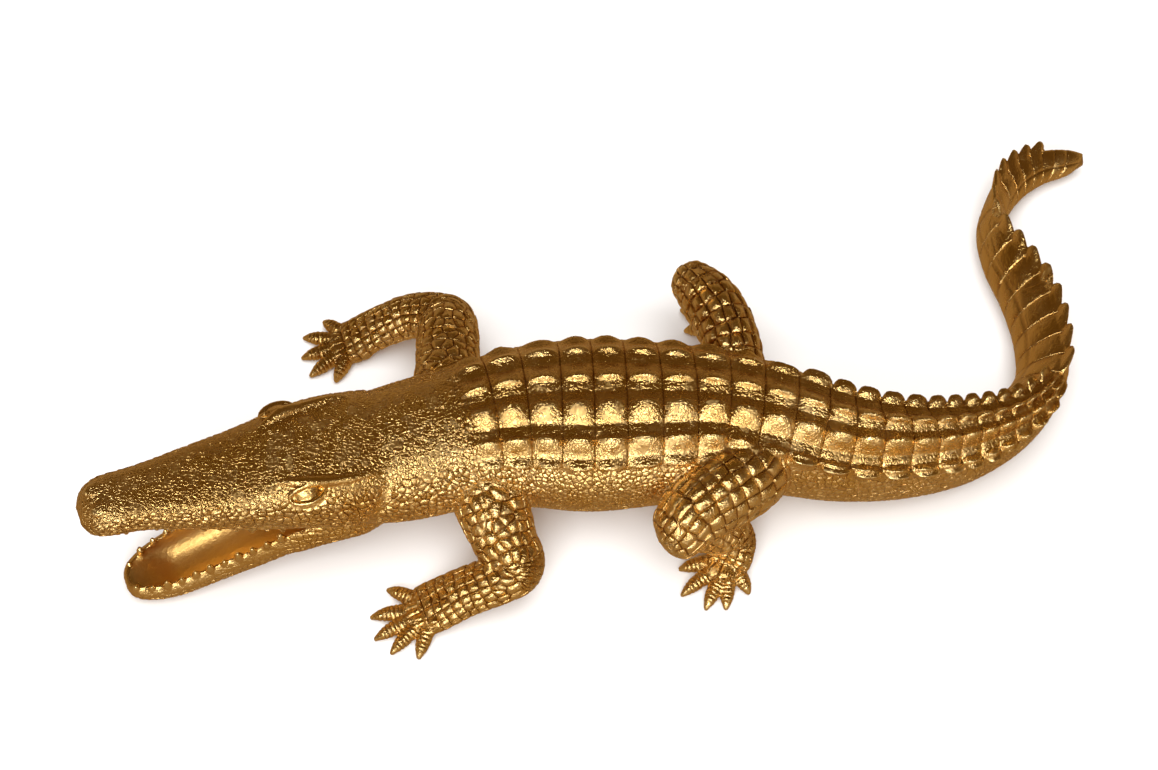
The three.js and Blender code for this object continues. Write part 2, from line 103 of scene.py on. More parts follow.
CREST_SINGLE_HEIGHT = 9
CREST_THICKNESS = 2.6
CREST_ROOT = 3
CREST_EDGE = 0.7  # thickness that a plate of the crest keeps up to its edge
CREST_BEND_LOSS = 0.7  # how much lower the crest gets on the outside of the tail's bend
TAIL_BEND = (385, 440)
BLADE_STEPS = 24
TIP_TAPER = 70

# Head: forward distance from the nape along the heading, height of the centre, half width, rise, drop
HEAD_ORIGIN = np.array([-133.0, -82.0, 0.0])
HEADING = math.radians(21.5)
FORWARD = np.array([-math.cos(HEADING), -math.sin(HEADING), 0.0])
LEFT = np.cross([0.0, 0.0, 1.0], FORWARD)
UPPER_JAW = [
    [-22, 53, 37, 29, 24], [0, 57, 39.5, 31, 24], [18, 62, 39, 29, 21], [34, 66.5, 36.5, 27.5, 18],
    [48, 70.5, 33, 23.5, 19], [66, 75.5, 29.5, 19.5, 17.5], [88, 82, 25.5, 16.5, 11.5],
    [110, 88.5, 21, 14, 9], [126, 93.5, 18.5, 12.5, 8], [138, 96, 17.8, 11.5, 8],
    [146, 96, 15.5, 9.5, 7.5], [151, 95, 12, 7, 6.5], [154, 94, 6, 4, 4],
]
LOWER_JAW = [
    [-30, 42, 31, 16, 17], [0, 38, 37, 16, 21], [14, 34.5, 35.5, 19, 17.5], [30, 31, 32, 22, 15.5],
    [41, 28, 29.8, 20, 15], [50, 26, 27.5, 16, 14.5], [70, 20, 24.8, 13.5, 13], [92, 14.5, 22.3, 12, 12],
    [113, 10, 20.5, 10.5, 10], [125, 8.7, 18.3, 9, 9], [133, 8, 15.5, 7.5, 8], [139, 7.7, 12.3, 6, 7],
    [142.5, 7.5, 8.5, 4.5, 5.5], [144.3, 7.5, 4, 2.5, 3.5],
]
JAW_SIDEWAYS = 0.028  # how far the lower jaw stands to the left for each millimetre forward
UPPER_POWERS = (0.8, 0.62)
LOWER_POWERS = (0.75, 0.85)
JAW_TIP_LENGTH = 8.3
UPPER_TIP_START = 146
LOWER_TIP_START = 136
JAW_WALL = 5
JAW_HOLLOW_DEPTH = 0.8
JAW_HOLLOW_END = (112, 143)
LIP = 4.2
EYE = {"forward": 32, "side": 27.6, "height": 85.5}
EYEBALL = [7.4, 4.8, 4.6]
LID = {"half_length": 10.4, "opening": 5.0}
BROW = {"front": 47, "length": 57}
NOSTRIL = {"forward": 141, "side": 6.5, "height": 106, "sizes": [6.5, 4.4, 2.2]}
TOOTH_HEIGHT = 4.3
TOOTH_RADIUS = 2.1
TOOTH_SINK = 2
TOOTH_ROOT = 1.5

# Legs: x, y, z, half width, half height of the limb at each station
LIMB_STATIONS = {
    "left_fore": [
        [-56, -84, 47, 24, 22], [-50, -106, 43, 22, 19], [-43, -124, 36, 19, 16], [-37, -137, 28, 17, 16],
        [-50, -144, 22, 15, 14], [-66, -148, 16, 15, 12], [-82, -153, 9, 16, 9], [-93, -157, 6, 16, 6],
    ],
    "right_fore": [
        [-78, -38, 47, 22, 22], [-79, -12, 43, 19.5, 19], [-80, 14, 37, 19, 17], [-83, 29, 29, 17, 16],
        [-102, 36, 23, 14, 14], [-120, 34, 16, 13.5, 12], [-137, 29, 9, 14, 8.5], [-147, 26, 6, 14, 6],
    ],
    "left_thigh": [
        [110, -72, 44, 22, 25], [98, -88, 48, 23, 26], [81, -102, 50, 22, 26], [64, -116, 50, 19.5, 22],
        [54.5, -127, 45, 16, 16], [48, -132, 42, 13, 13],
    ],
    "left_shank": [
        [62, -118, 42, 15, 15], [78, -112, 28, 16, 15], [90, -113, 15, 14, 13], [85, -124, 7, 17, 7],
    ],
    "right_thigh": [
        [94, -24, 46, 18, 24], [92, -4, 49, 17.5, 22.5], [87, 14, 51, 17.5, 21.5], [79, 30, 51, 17, 20],
        [70, 44, 48, 14, 14.5], [64, 54, 44, 11, 11],
    ],
    "right_shank": [
        [76, 32, 42, 13, 14], [86, 28, 28, 14, 14], [96, 28, 15, 13, 12], [90, 38, 8, 15, 8],
    ],
}
FEET = [
    {"palm": (-84, -153), "toes": [(-113, -140), (-122, -158), (-119, -172), (-109, -181), (-93, -184)]},
    {"palm": (-139, 27), "toes": [(-151, 1), (-167, 5), (-173, 18), (-173, 33), (-161, 45)]},
    {"palm": (89, -121), "toes": [(59, -127), (60, -144), (74, -153), (86, -153), (100, -143)]},
    {"palm": (90, 38), "toes": [(66, 38), (64, 54), (72, 64), (84, 67), (96, 60)]},
]
TOE_RADIUS = 4.6
PALM_SIZES = [13, 13, 7]
PALM_HEIGHT = 5
HEEL_REACH = 0.16
WEB_REACH = 0.56
WEB_THICKNESS = 4.5


def column(rows, index, at):
    """Smooth value of one column of a table at fractional row numbers."""
    values = np.array([row[index] for row in rows], float)
    last = len(values) - 1
    at = np.asarray(at, float)
    row = np.clip(np.floor(at).astype(int), 0, last - 1)
    t = at - row
    a, b, c, d = (values[np.clip(row + k, 0, last)] for k in (-1, 0, 1, 2))
    square = 2 * a - 5 * b + 4 * c - d
    cube = 3 * b - a - 3 * c + d
    return b + 0.5 * t * (c - a + t * (square + t * cube))


def ease(start, end, x):
    """0 up to the start, 1 from the end on, and smooth between them."""
    t = np.clip((np.asarray(x, float) - start) / (end - start), 0, 1)
    return t * t * (3 - 2 * t)


def unit(v):
    return v / np.maximum(np.linalg.norm(v, axis=-1, keepdims=True), 1e-9)


def times(values, direction):
    return np.multiply.outer(values, direction)


def dot(a, b):
    return np.einsum("ij,ij->i", a, b)


class Line:
    """A centre line with half sizes of its section: the spine or a limb."""

    def __init__(self, rows, reach, leaning=False):
        row = np.linspace(0, len(rows) - 1, (len(rows) - 1) * CURVE_STEPS + 1)
        self.points = np.stack([column(rows, i, row) for i in range(3)], 1)
        steps = np.linalg.norm(np.diff(self.points, axis=0), axis=1)
        self.lengths = np.concatenate([[0], np.cumsum(steps)])
        self.total = self.lengths[-1]
        number = np.arange(len(row))
        ahead = self.points[np.minimum(number + reach, len(row) - 1)]
        behind = self.points[np.maximum(number - reach, 0)]
        self.along = unit(ahead - behind)
        level = unit(np.cross(self.along, [0.0, 0.0, 1.0]))
        straight = np.cross(level, self.along)
        lean = np.radians(column(rows, 5, row))[:, None] if leaning else np.zeros((len(row), 1))
        self.up = straight * np.cos(lean) + level * np.sin(lean)
        self.side = level * np.cos(lean) - straight * np.sin(lean)
        self.width = column(rows, 3, row)
        self.height = column(rows, 4, row)

    def at(self, distance):
        """Centre, along, up, side, half width and half height at distances along the line."""
        def mixed(values):
            if values.ndim == 1:
                return np.interp(distance, self.lengths, values)
            return np.stack([np.interp(distance, self.lengths, values[:, i]) for i in range(3)], -1)
        return [mixed(v) for v in (self.points, self.along, self.up, self.side, self.width, self.height)]

    def locate(self, points):
        """Distance along the line of each point, and its offsets to the side, upward and past the ends."""
        every = self.points[::4]
        nearest = np.empty(len(points), int)
        square = (every ** 2).sum(1)
        for start in range(0, len(points), 20000):
            part = points[start:start + 20000]
            nearest[start:start + 20000] = np.argmin(square - 2 * part @ every.T, axis=1)
        distance = self.lengths[::4][nearest]
        for _ in range(3):
            centre, along = self.at(distance)[:2]
            distance = np.clip(distance + dot(points - centre, along), 0, self.total)
        centre, along, up, side, width, height = self.at(distance)
        offset = points - centre
        return distance, dot(offset, side), dot(offset, up), dot(offset, along), width, height


SPINE = Line(SPINE_STATIONS, SPINE_REACH, True)
LIMBS = {name: Line(rows, LIMB_REACH) for name, rows in LIMB_STATIONS.items()}


# Rough forms, before the scales

def loft(rings):
    """Vertices and quads of a closed body through rings of equal point count."""
    rings = np.asarray(rings, float)
    first = np.repeat(rings[0].mean(0)[None], rings.shape[1], 0)
    last = np.repeat(rings[-1].mean(0)[None], rings.shape[1], 0)
    rings = np.concatenate([first[None], rings, last[None]])
    count, points = rings.shape[:2]
    number = np.arange(count * points).reshape(count, points)
    a, b = number[:-1], number[1:]
    quads = np.stack([a, np.roll(a, -1, 1), np.roll(b, -1, 1), b], -1).reshape(-1, 4)
    return rings.reshape(-1, 3), quads


def plate_seams():
    seams = []
    at = PLATES_START
    places, lengths = zip(*PLATE_LENGTHS)
    while at < SPINE.total - lengths[-1] * 0.7:
        seams.append(at)
        at += float(np.interp(at, places, lengths))
    return np.array(seams + [SPINE.total])


SEAMS = plate_seams()


def row_spread(distance):
    places, spreads = zip(*ROW_SPREADS)
    return np.interp(distance, places, spreads)


def plate_share(distance):
    """Share of its plate's length at a distance along the spine, 0 and 1 at the seams."""
    number = np.clip(np.searchsorted(SEAMS, distance, "right") - 1, 0, len(SEAMS) - 2)
    start, end = SEAMS[number], SEAMS[number + 1]
    return np.clip((distance - start) / (end - start), 0, 1)


def seam_place(distance, bare):
    return distance + SEAM_BEND * (bare / SEAM_BEND_ANGLE) ** 2


def behind_hips(distance, before, after):
    """0 to 1 over a stretch of the spine from before the hips to after them."""
    return ease(HIPS_AT - before, HIPS_AT + after, distance)


def narrowing(distance):
    return TAIL_NARROWING * behind_hips(distance, before=20, after=120)


def armour_edge(distance):
    """Angle at which the plates end, sooner behind the hips."""
    rows = ARMOUR_ROWS - 0.5 * behind_hips(distance, before=30, after=30)
    return 2 * ROW_STEP * rows * row_spread(distance)


def plate_keel(across, lens, tail):
    """Height of a plate's keel, steep toward the middle of the back and sloping outward."""
    top = KEEL_AT + KEEL_BOW * (1 - lens)
    steep = ease(top - KEEL_FACE, top, across)
    slope = 1 - np.clip((across - top) / (KEEL_REACH * (0.5 + 0.5 * lens)), 0, 1)
    return KEEL_HEIGHT * (1 + TAIL_FIN_GROWTH * tail) * lens * steep * slope ** 0.85


def plate_raise(distance, angle):
    """Height of the plates above the skin, in two rows on each side. The outer plates end in a scalloped edge
    that overhangs the flank."""
    step = ROW_STEP * row_spread(distance)
    bare = np.abs(angle)
    row = np.clip(np.floor(bare / (2 * step)), 0, 1)
    across = (bare - (2 * row + 1) * step) / step
    share = plate_share(seam_place(distance, bare))
    tail = behind_hips(distance, before=10, after=60)
    outer = 1 - behind_hips(distance, before=30, after=30)
    within = np.clip((share - PLATE_GAP) / (1 - 2 * PLATE_GAP), 0, 1)
    lens = np.sin(math.pi * within ** 1.1) ** (0.6 - 0.2 * tail)
    flat = np.clip(np.abs(across), 0, 1)
    swell = PLATE_SWELL * (1 - flat ** 1.6) * (0.55 + 0.45 * lens)
    lane = GROOVE_DEPTH * (1 - ease(0, 0.35, 1 - flat)) * ((row == 0) | (across < 0))
    scallop = 0.12 + 0.88 * lens ** 1.5
    overhang = OUTER_RISE * scallop * ease(0.8, 1.6, across) * (row == 1) * outer
    plates = plate_keel(across, lens, tail) + swell - lane + overhang + OUTER_RIM * outer
    onset = ease(PLATES_START - PLATES_ONSET, PLATES_START + PLATES_ONSET, distance)
    merged = ease(CREST_MERGE_AT - 25, CREST_MERGE_AT + 15, distance)
    edge = armour_edge(distance)
    inside = 1 - ease(edge - 0.8, edge + 0.7, bare)
    return onset * (1 - merged) * plates * inside


def trunk_skin(distance, angle, raised):
    """Points of the skin, angles from the back's middle line in degrees, positive toward the left side."""
    centre, _, up, side, width, height = SPINE.at(distance)
    c = np.cos(np.radians(angle))
    s = np.sin(np.radians(angle))
    across = (width * (1 - narrowing(distance) * c) + raised) * s
    upward = (height + raised) * c
    return centre + side * across[..., None] + up * upward[..., None]


def trunk():
    distances = np.arange(0, SPINE.total - SECTION_STEP / 2, SECTION_STEP)
    angles = np.arange(-180, 180, 1.0)
    d, a = np.meshgrid(distances, angles, indexing="ij")
    return loft(trunk_skin(d, a, plate_raise(d, a)))


def blade_outline(u, hooked):
    """Height of a crest plate along its length, from a round arch to a hook that points back."""
    hook = (np.clip(u / 0.72, 0, 1) ** 0.75) * np.sqrt(1 - np.clip((u - 0.55) / 0.45, 0, 1) ** 4)
    arch = np.clip(1 - np.abs(2 * u - 1.02) ** 3.2, 0, 1) ** 0.55
    return hook * hooked + arch * (1 - hooked)


def crest_blade(start, end, angle, height):
    """One plate of the crest, thin at its edge. Those of the double crest are round, lean outward and curl
    up; those of the single crest stand upright and hook back."""
    length = end - start
    hooked = float(ease(CREST_MERGE_AT - 12, CREST_MERGE_AT + 5, start))
    double = 1 - float(ease(CREST_MERGE_AT - 40, CREST_MERGE_AT, start))
    u = np.concatenate([np.linspace(0, 1, BLADE_STEPS), np.linspace(1, 0, BLADE_STEPS)[1:-1]])
    face = np.concatenate([np.full(BLADE_STEPS, -1.0), np.full(BLADE_STEPS - 2, 1.0)])
    top = height * blade_outline(u, hooked)
    sign = 1 if angle >= 0 else -1
    rings = []
    for v in np.concatenate([[0], np.linspace(0.04, 1, 14)]):
        raised = -CREST_ROOT + v * (top + CREST_ROOT)
        distance = start + length * (1.0 + 0.1 * hooked) * u + length * (0.04 + 0.18 * hooked) * v * v * u
        tilt = np.radians(abs(angle) + double * (CREST_FLARE - CREST_CURL * v * v)) * sign
        _, _, up, side, _, _ = SPINE.at(distance)
        out = side * np.sin(tilt) + up * np.cos(tilt)
        flat = side * np.cos(tilt) - up * np.sin(tilt)
        thin = CREST_THICKNESS * (1 - v) ** 0.7 + CREST_EDGE * (1 - v ** 6) if v else 0
        half = thin * (4 * u * (1 - u)) ** 0.35
        foot = trunk_skin(distance, np.full_like(u, angle), 0)
        rings.append(foot + out * raised[:, None] + flat * (half * face)[:, None])
    return loft(rings)


def crest():
    """Two rows of plates from the hips on, which merge into one row toward the tip of the tail."""
    blades = []
    for start, end in zip(SEAMS[:-1], SEAMS[1:]):
        if start < HIPS_AT - CREST_LEAD or end > SPINE.total - CREST_END:
            continue
        if start < CREST_MERGE_AT - 10:
            angle = float(ROW_STEP * 3 * row_spread(start))
            height = CREST_HEIGHT * float(behind_hips(start, before=65, after=10))
            outside = 1 - CREST_BEND_LOSS * float(ease(*TAIL_BEND, start))
            blades.append(crest_blade(start, end, -angle, height))
            blades.append(crest_blade(start, end, angle, height * outside))
        else:
            fade = 1 - 0.45 * float(ease(SPINE.total - TIP_TAPER, SPINE.total, start))
            blades.append(crest_blade(start, end, 0.0, CREST_SINGLE_HEIGHT * fade))
    return blades


def head_point(forward, left, height):
    return HEAD_ORIGIN + times(forward, FORWARD) + times(left, LEFT) + times(height, [0.0, 0.0, 1.0])


def jaw_sizes(rows, forward):
    """Height of the centre, half width, rise and drop of a jaw at forward distances."""
    row = np.linspace(0, len(rows) - 1, 400)
    row = np.interp(forward, column(rows, 0, row), row)
    return [column(rows, i, row) for i in (1, 2, 3, 4)]


def power(value, exponent):
    return np.sign(value) * np.abs(value) ** exponent


def jaw_stations(rows, tip_start):
    bulk = np.arange(rows[0][0], tip_start, SECTION_STEP)
    tip = tip_start + JAW_TIP_LENGTH - JAW_TIP_LENGTH * np.linspace(1, 0, 16)[1:] ** 2
    return np.concatenate([bulk, tip])


def upper_jaw():
    forward = jaw_stations(UPPER_JAW, UPPER_TIP_START)
    angle = np.radians(np.arange(0, 360, 1.25))
    f, a = np.meshgrid(forward, angle, indexing="ij")
    height, width, rise, drop = jaw_sizes(UPPER_JAW, f)
    c, s = np.cos(a), np.sin(a)
    exponent = np.where(c > 0, UPPER_POWERS[0], UPPER_POWERS[1])
    across = power(s, exponent) * width
    upward = power(c, exponent) * np.where(c > 0, rise, drop)
    return loft(head_point(f, across, height + upward))


def lower_jaw():
    """The trough of the lower jaw: outside round the bottom, then over the rims and through the hollow."""
    forward = jaw_stations(LOWER_JAW, LOWER_TIP_START)
    height, width, rise, drop = (v[None] for v in jaw_sizes(LOWER_JAW, forward))
    below = np.radians(np.linspace(-90, 90, 120)[:, None])
    across, upward = power(np.sin(below), LOWER_POWERS[1]), power(np.cos(below), LOWER_POWERS[1])
    outer = np.stack([across * width, height - upward * drop], -1)
    x = np.cos(np.linspace(0, math.pi, 200))[1:-1][:, None]
    rim = height + rise * (1 - np.abs(x) ** (2 / LOWER_POWERS[0])) ** (LOWER_POWERS[0] / 2)
    depth = (drop * JAW_HOLLOW_DEPTH + rise) * (1 - ease(*JAW_HOLLOW_END, forward))
    reach = np.clip(np.abs(x) / (1 - JAW_WALL / width), 0, 1)
    hollow = height + rise - depth * (1 - reach ** 2.5) ** 0.4
    inner = np.stack([x * width, np.where(reach < 1, np.minimum(rim, hollow), rim)], -1)
    section = np.concatenate([outer, inner])
    f = np.broadcast_to(forward[None], section.shape[:2])
    return loft(head_point(f, section[..., 0] + JAW_SIDEWAYS * f, section[..., 1]).transpose(1, 0, 2))


def ball(centre, axes, sizes):
    """Ellipsoid on three unit axes."""
    polar = np.linspace(0.05, math.pi - 0.05, 20)
    turn = np.linspace(0, 2 * math.pi, 32, endpoint=False)
    p, t = np.meshgrid(polar, turn, indexing="ij")
    local = np.stack([np.cos(p), np.sin(p) * np.cos(t), np.sin(p) * np.sin(t)], -1) * sizes
    return loft(np.asarray(centre) + local @ np.array(axes))


def tube(points, radii, count=14):
    """Round body along a line of points."""
    points = np.asarray(points, float)
    radii = np.asarray(radii, float)
    along = unit(np.gradient(points, axis=0))
    level = unit(np.cross(along, [0.13, 0.21, 1.0]))
    up = np.cross(level, along)
    turn = np.linspace(0, 2 * math.pi, count, endpoint=False)
    ring = level[:, None] * np.cos(turn)[None, :, None] + up[:, None] * np.sin(turn)[None, :, None]
    return loft(points[:, None] + ring * radii[:, None, None])


def tooth(root, direction, height, radius, lean):
    t = np.linspace(0, 1, 8)
    points = root + times(t * height, [0, 0, direction]) + times(t * t, lean)
    return tube(points, radius * (1 - t ** 2.4) + 0.35, 10)


def jaw_teeth(rows, places, direction, root_share, phase, sideways=0.0):
    """Teeth along both sides of a jaw at forward distances, uneven in height and thickness."""
    teeth = []
    for sign in (-1, 1):
        for i, forward in enumerate(places):
            height, width, rise, drop = (float(v) for v in jaw_sizes(rows, forward))
            uneven = 0.5 + 0.5 * math.sin(i * 2.4 + phase + sign)
            gum = direction * (rise if direction > 0 else drop) * root_share
            across = sign * (width - LIP) + sideways * forward
            root = head_point(forward, across, height + gum - direction * TOOTH_SINK)
            tall = TOOTH_HEIGHT * (0.75 + 0.6 * uneven) + TOOTH_ROOT
            thick = TOOTH_RADIUS * (0.85 + 0.3 * uneven)
            teeth.append(tooth(root, direction, tall, thick, LEFT * (sign * 0.8)))
    return teeth


def brow_normal(side):
    centre, width, rise, _ = (float(v) for v in jaw_sizes(UPPER_JAW, EYE["forward"]))
    n = 2 / UPPER_POWERS[0]
    across = abs(side / width) ** (n - 1) / width * math.copysign(1, side)
    upward = abs((EYE["height"] - centre) / rise) ** (n - 1) / rise
    return unit(LEFT * across + np.array([0, 0, upward]))


def eye(sign):
    """Eyeball between two lids that form an almond."""
    side = sign * EYE["side"]
    centre = head_point(EYE["forward"], side, EYE["height"])
    out = brow_normal(side)
    front = unit(FORWARD - out * np.dot(FORWARD, out))
    upward = np.cross(front, out) * sign
    upward = upward if upward[2] > 0 else -upward
    parts = [ball(centre, [front, upward, out], EYEBALL)]
    t = np.linspace(-1, 1, 30)
    bow = np.sqrt(np.clip(1 - t * t, 0, 1)) ** 1.25
    for lid in (-1, 1):
        points = centre + times(t * LID["half_length"], front) + times(lid * bow * LID["opening"], upward)
        points = points + times(1.3 + 2.6 * bow, out)
        parts.append(tube(points, 0.7 + 0.8 * bow))
    return parts


def brow(sign):
    """Edge of the skull's flat top, standing out over the eye and running to the back of the head."""
    t = np.linspace(0, 1, 50)
    forward = BROW["front"] - BROW["length"] * t
    height, width, rise, _ = jaw_sizes(UPPER_JAW, forward)
    angle = np.radians(26 + 11 * t)
    across = sign * power(np.sin(angle), UPPER_POWERS[0]) * width
    upward = power(np.cos(angle), UPPER_POWERS[0]) * rise
    bow = np.sin(math.pi * t) ** 0.5
    over_eye = np.exp(-((forward - EYE["forward"] + 3) / 9) ** 2)
    outward = 2.1 * bow + 0.8 * over_eye
    points = head_point(forward, across + sign * outward, height + upward - 1.0 + 1.6 * over_eye)
    return tube(points, 0.8 + 2.2 * bow + 0.4 * over_eye, 18)


def head():
    parts = [upper_jaw(), lower_jaw()]
    parts += jaw_teeth(LOWER_JAW, np.linspace(52, 139, 11), 1, 0.8, 0.3, JAW_SIDEWAYS)
    parts += jaw_teeth(UPPER_JAW, np.linspace(50, 141, 12), -1, 0.75, 1.7)
    for sign in (-1, 1):
        parts += eye(sign)
        parts.append(brow(sign))
        centre = head_point(NOSTRIL["forward"], sign * NOSTRIL["side"], NOSTRIL["height"])
        parts.append(ball(centre, [FORWARD, LEFT, [0, 0, 1]], NOSTRIL["sizes"]))
    return parts


def limb(line, rounding):
    """Body of a leg, rounded off at its end."""
    distances = np.arange(0, line.total, LIMB_STEP)
    angles = np.radians(np.arange(0, 360, 2.5))
    centre, _, up, side, width, height = line.at(distances)
    bow = np.clip((distances - line.total + rounding) / rounding, 0, 0.999)
    round_off = np.sqrt(1 - bow ** 2)
    across = np.sin(angles)[None] * (width * round_off)[:, None]
    upward = np.cos(angles)[None] * (height * round_off)[:, None]
    return loft(centre[:, None] + (side[:, None] * across[..., None] + up[:, None] * upward[..., None]))


def toe(palm, tip):
    """A tapered toe with a knuckle and a claw that bends down to the ground."""
    shares = np.array([0.2, 0.32, 0.45, 0.6, 0.74, 0.82, 0.9, 0.97, 1.0])
    heights = np.array([5.8, 5.6, 5.0, 4.6, 4.0, 3.5, 2.7, 1.8, 1.3])
    radii = TOE_RADIUS * np.array([1.0, 1.04, 0.98, 0.98, 0.9, 0.76, 0.55, 0.34, 0.2])
    fine = np.linspace(shares[0], 1, 40)
    palm, tip = np.array(palm, float), np.array(tip, float)
    points = np.zeros((len(fine), 3))
    points[:, :2] = palm + times(fine, tip - palm)
    points[:, 2] = np.interp(fine, shares, heights)
    return tube(points, np.interp(fine, shares, radii), 24)


def web(foot):
    """The sole and the webs between the toes."""
    palm = np.array(foot["palm"], float)
    toes = [np.array(t, float) for t in foot["toes"]]
    heel = palm - (toes[0] + toes[-1] - 2 * palm) * HEEL_REACH
    outline = [heel]
    for i, tip in enumerate(toes):
        outline.append(palm + (tip - palm) * (WEB_REACH + 0.2))
        if i + 1 < len(toes):
            outline.append(palm + ((tip + toes[i + 1]) / 2 - palm) * WEB_REACH)
    outline = np.array(outline + [heel])
    row = np.linspace(0, len(outline) - 1, (len(outline) - 1) * 8, endpoint=False)
    ring = np.stack([np.interp(row, np.arange(len(outline)), outline[:, i]) for i in (0, 1)], 1)
    rings = []
    for z, inset in ((-1, 0.0), (WEB_THICKNESS * 0.7, 0.0), (WEB_THICKNESS, 0.08)):
        flat = ring + (palm - ring) * inset
        rings.append(np.concatenate([flat, np.full((len(flat), 1), z)], 1))
    return loft(rings)


def rough_forms():
    parts = [trunk()] + crest() + head()
    parts += [limb(line, LIMB_ROUNDING[name.split("_")[1]]) for name, line in LIMBS.items()]
    for foot in FEET:
        parts += [toe(foot["palm"], tip) for tip in foot["toes"]]
        parts.append(ball([*foot["palm"], PALM_HEIGHT], np.eye(3), PALM_SIZES))
        parts.append(web(foot))
    return parts


# Objects and meshes

def placed(name, data):
    obj = bpy.data.objects.new(name, data)
    bpy.context.scene.collection.objects.link(obj)
    return obj


def new_mesh(name, points, quads):
    mesh = bpy.data.meshes.new(name)
    mesh.vertices.add(len(points))
    mesh.vertices.foreach_set("co", np.asarray(points, np.float32).ravel())
    mesh.loops.add(len(quads) * 4)
    mesh.loops.foreach_set("vertex_index", np.asarray(quads, np.int32).ravel())
    mesh.polygons.add(len(quads))
    mesh.polygons.foreach_set("loop_start", np.arange(0, len(quads) * 4, 4, dtype=np.int32))
    mesh.update(calc_edges=True)
    return mesh


def joined(parts):
    points, quads, start = [], [], 0
    for p, q in parts:
        points.append(p)
        quads.append(q + start)
        start += len(p)
    return np.concatenate(points), np.concatenate(quads)


def modified(obj, kind, **settings):
    """Applies one modifier to an object and gives its new mesh."""
    modifier = obj.modifiers.new(kind.lower(), kind)
    for name, value in settings.items():
        setattr(modifier, name, value)
    depsgraph = bpy.context.evaluated_depsgraph_get()
    mesh = bpy.data.meshes.new_from_object(obj.evaluated_get(depsgraph))
    obj.modifiers.clear()
    obj.data = mesh
    return mesh


def listed(items, name, width, kind=np.float32):
    """A property of every item of a mesh, in rows."""
    values = np.empty(len(items) * width, kind)
    items.foreach_get(name, values)
    return values.reshape(-1, width)


def points_of(mesh):
    return listed(mesh.vertices, "co", 3).astype(float) / MM - CENTRE_SHIFT


def set_points(mesh, points):
    """Moves the points of a mesh, none of them below the floor."""
    points[:, 2] = np.maximum(points[:, 2], 0)
    mesh.vertices.foreach_set("co", ((points + CENTRE_SHIFT) * MM).astype(np.float32).ravel())
    mesh.update()


def normals_of(mesh):
    return listed(mesh.vertex_normals, "vector", 3).astype(float)


def smoothed(values, edges, weight, passes):
    """Each vertex moves toward the mean of its neighbours by its weight, several times."""
    a, b = edges[:, 0], edges[:, 1]
    size = len(values)
    count = np.maximum(np.bincount(a, minlength=size) + np.bincount(b, minlength=size), 1)
    for _ in range(passes):
        sums = [np.bincount(a, axis[b], size) + np.bincount(b, axis[a], size) for axis in values.T]
        mean = np.stack([total / count for total in sums], 1)
        values = values + (mean - values) * weight[:, None]
    return values


# Scale patterns: places stored on the skin, and the nodes that turn them into relief

# Length and breadth of the scales of a limb, and how uneven they are at its two ends
LIMB_SCALES = {
    "fore": {"size": (6.5, 6.0), "uneven": (0.85, 0.15)},
    "thigh": {"size": (8.4, 8.0), "uneven": (0.2, 0.3)},
    "shank": {"size": (5.8, 5.6), "uneven": (0.4, 0.3)},
}
SCALE_STRENGTH = {
    "left_fore": 1.1, "right_fore": 1.25, "left_thigh": 1.25, "right_thigh": 1.9, "left_shank": 1.15,
    "right_shank": 1.3,
}
LIMB_LEATHER = 0.3
PART_BLEND = 3.0  # how far a pattern fades out where another part is nearer
# Size of the pebbles by distance along the spine
PEBBLE_SIZES = [[0, 4.0], [70, 3.9], [130, 2.9], [640, 2.9]]
PEBBLE_STEP = 2.0
PEBBLE_UNEVEN = 0.95
HEAD_PEBBLE = 4.1
JAW_PEBBLE = 3.6
BELLY_SCALE = (8.5, 9.0)
BELLY_UNEVEN = 0.15
BELLY_FROM = 129  # degrees from the middle of the back
RIBBON_ONSET = (430, 465)
PANEL_BREADTH = 92
TOE_BAND = 2.5
TOE_BANDS_FROM = 0.465
FOOT_REACH = 48
FOOT_HEIGHT = 15
SCALE_DEPTH = 0.5
SCALE_RIM = 0.08  # breadth of a scale's steep rim, in cells
SCALE_CROWN = 0.26
SCALE_CROWN_REACH = 0.42
SCALE_LEAN = 1.0
SEAM_DEPTH = 0.62
SEAM_BREADTH = 0.027  # in plates
CREASE_SIZE = 2.1
CREASE_DEPTH = 0.3
CREASE_BREADTH = 0.24  # in cells
CREASE_DRIFT = (0.0035, 0.0035, 0.0035)
GRAIN_DEPTH = 0.44
MIDDLE = (0.5, 0.5, 0.5)  # mean of a texture's random colour
NOISE = {"patches": 16, "gloss": 110, "drift": 260, "grain": 430}  # waves per metre

# Painted shade in the grooves between scales and along the seams between plates: where it starts and ends to
# fade, in cells and in plates from the edge
GROOVE_SHADE_EDGES = (0.01, 0.06)
GROOVE_SHADE_DARKNESS = 0.6
SEAM_SHADE_EDGES = (0.003, 0.013)
SEAM_SHADE_DARKNESS = 0.7

# Gold: its colours, among them painted shade and a painted highlight, the limits of pointiness that make a
# shaded hollow or a highlighted edge, and the range of its roughness
GOLD = {
    "deep_patch": (0.80, 0.51, 0.17, 1), "pale_patch": (0.89, 0.61, 0.25, 1),
    # Pale colour for convex edges: a painted highlight
    "painted_edge_highlight": (0.98, 0.76, 0.36, 1), "mouth": (0.82, 0.52, 0.17, 1),
    # Colours for concave places and for the grooves: painted shade
    "hollow": (0.40, 0.175, 0.03, 1), "groove": (0.30, 0.12, 0.02, 1),
}
# Pointiness up to which concave places get painted shade, then that from which edges get a painted highlight
SHADED_HOLLOW_POINTINESS = (0.32, 0.42)
HIGHLIGHT_EDGE_POINTINESS = (0.52, 0.60)
GOLD_ROUGHNESS = (0.17, 0.32)
MOUTH_ROUGHNESS = 0.18

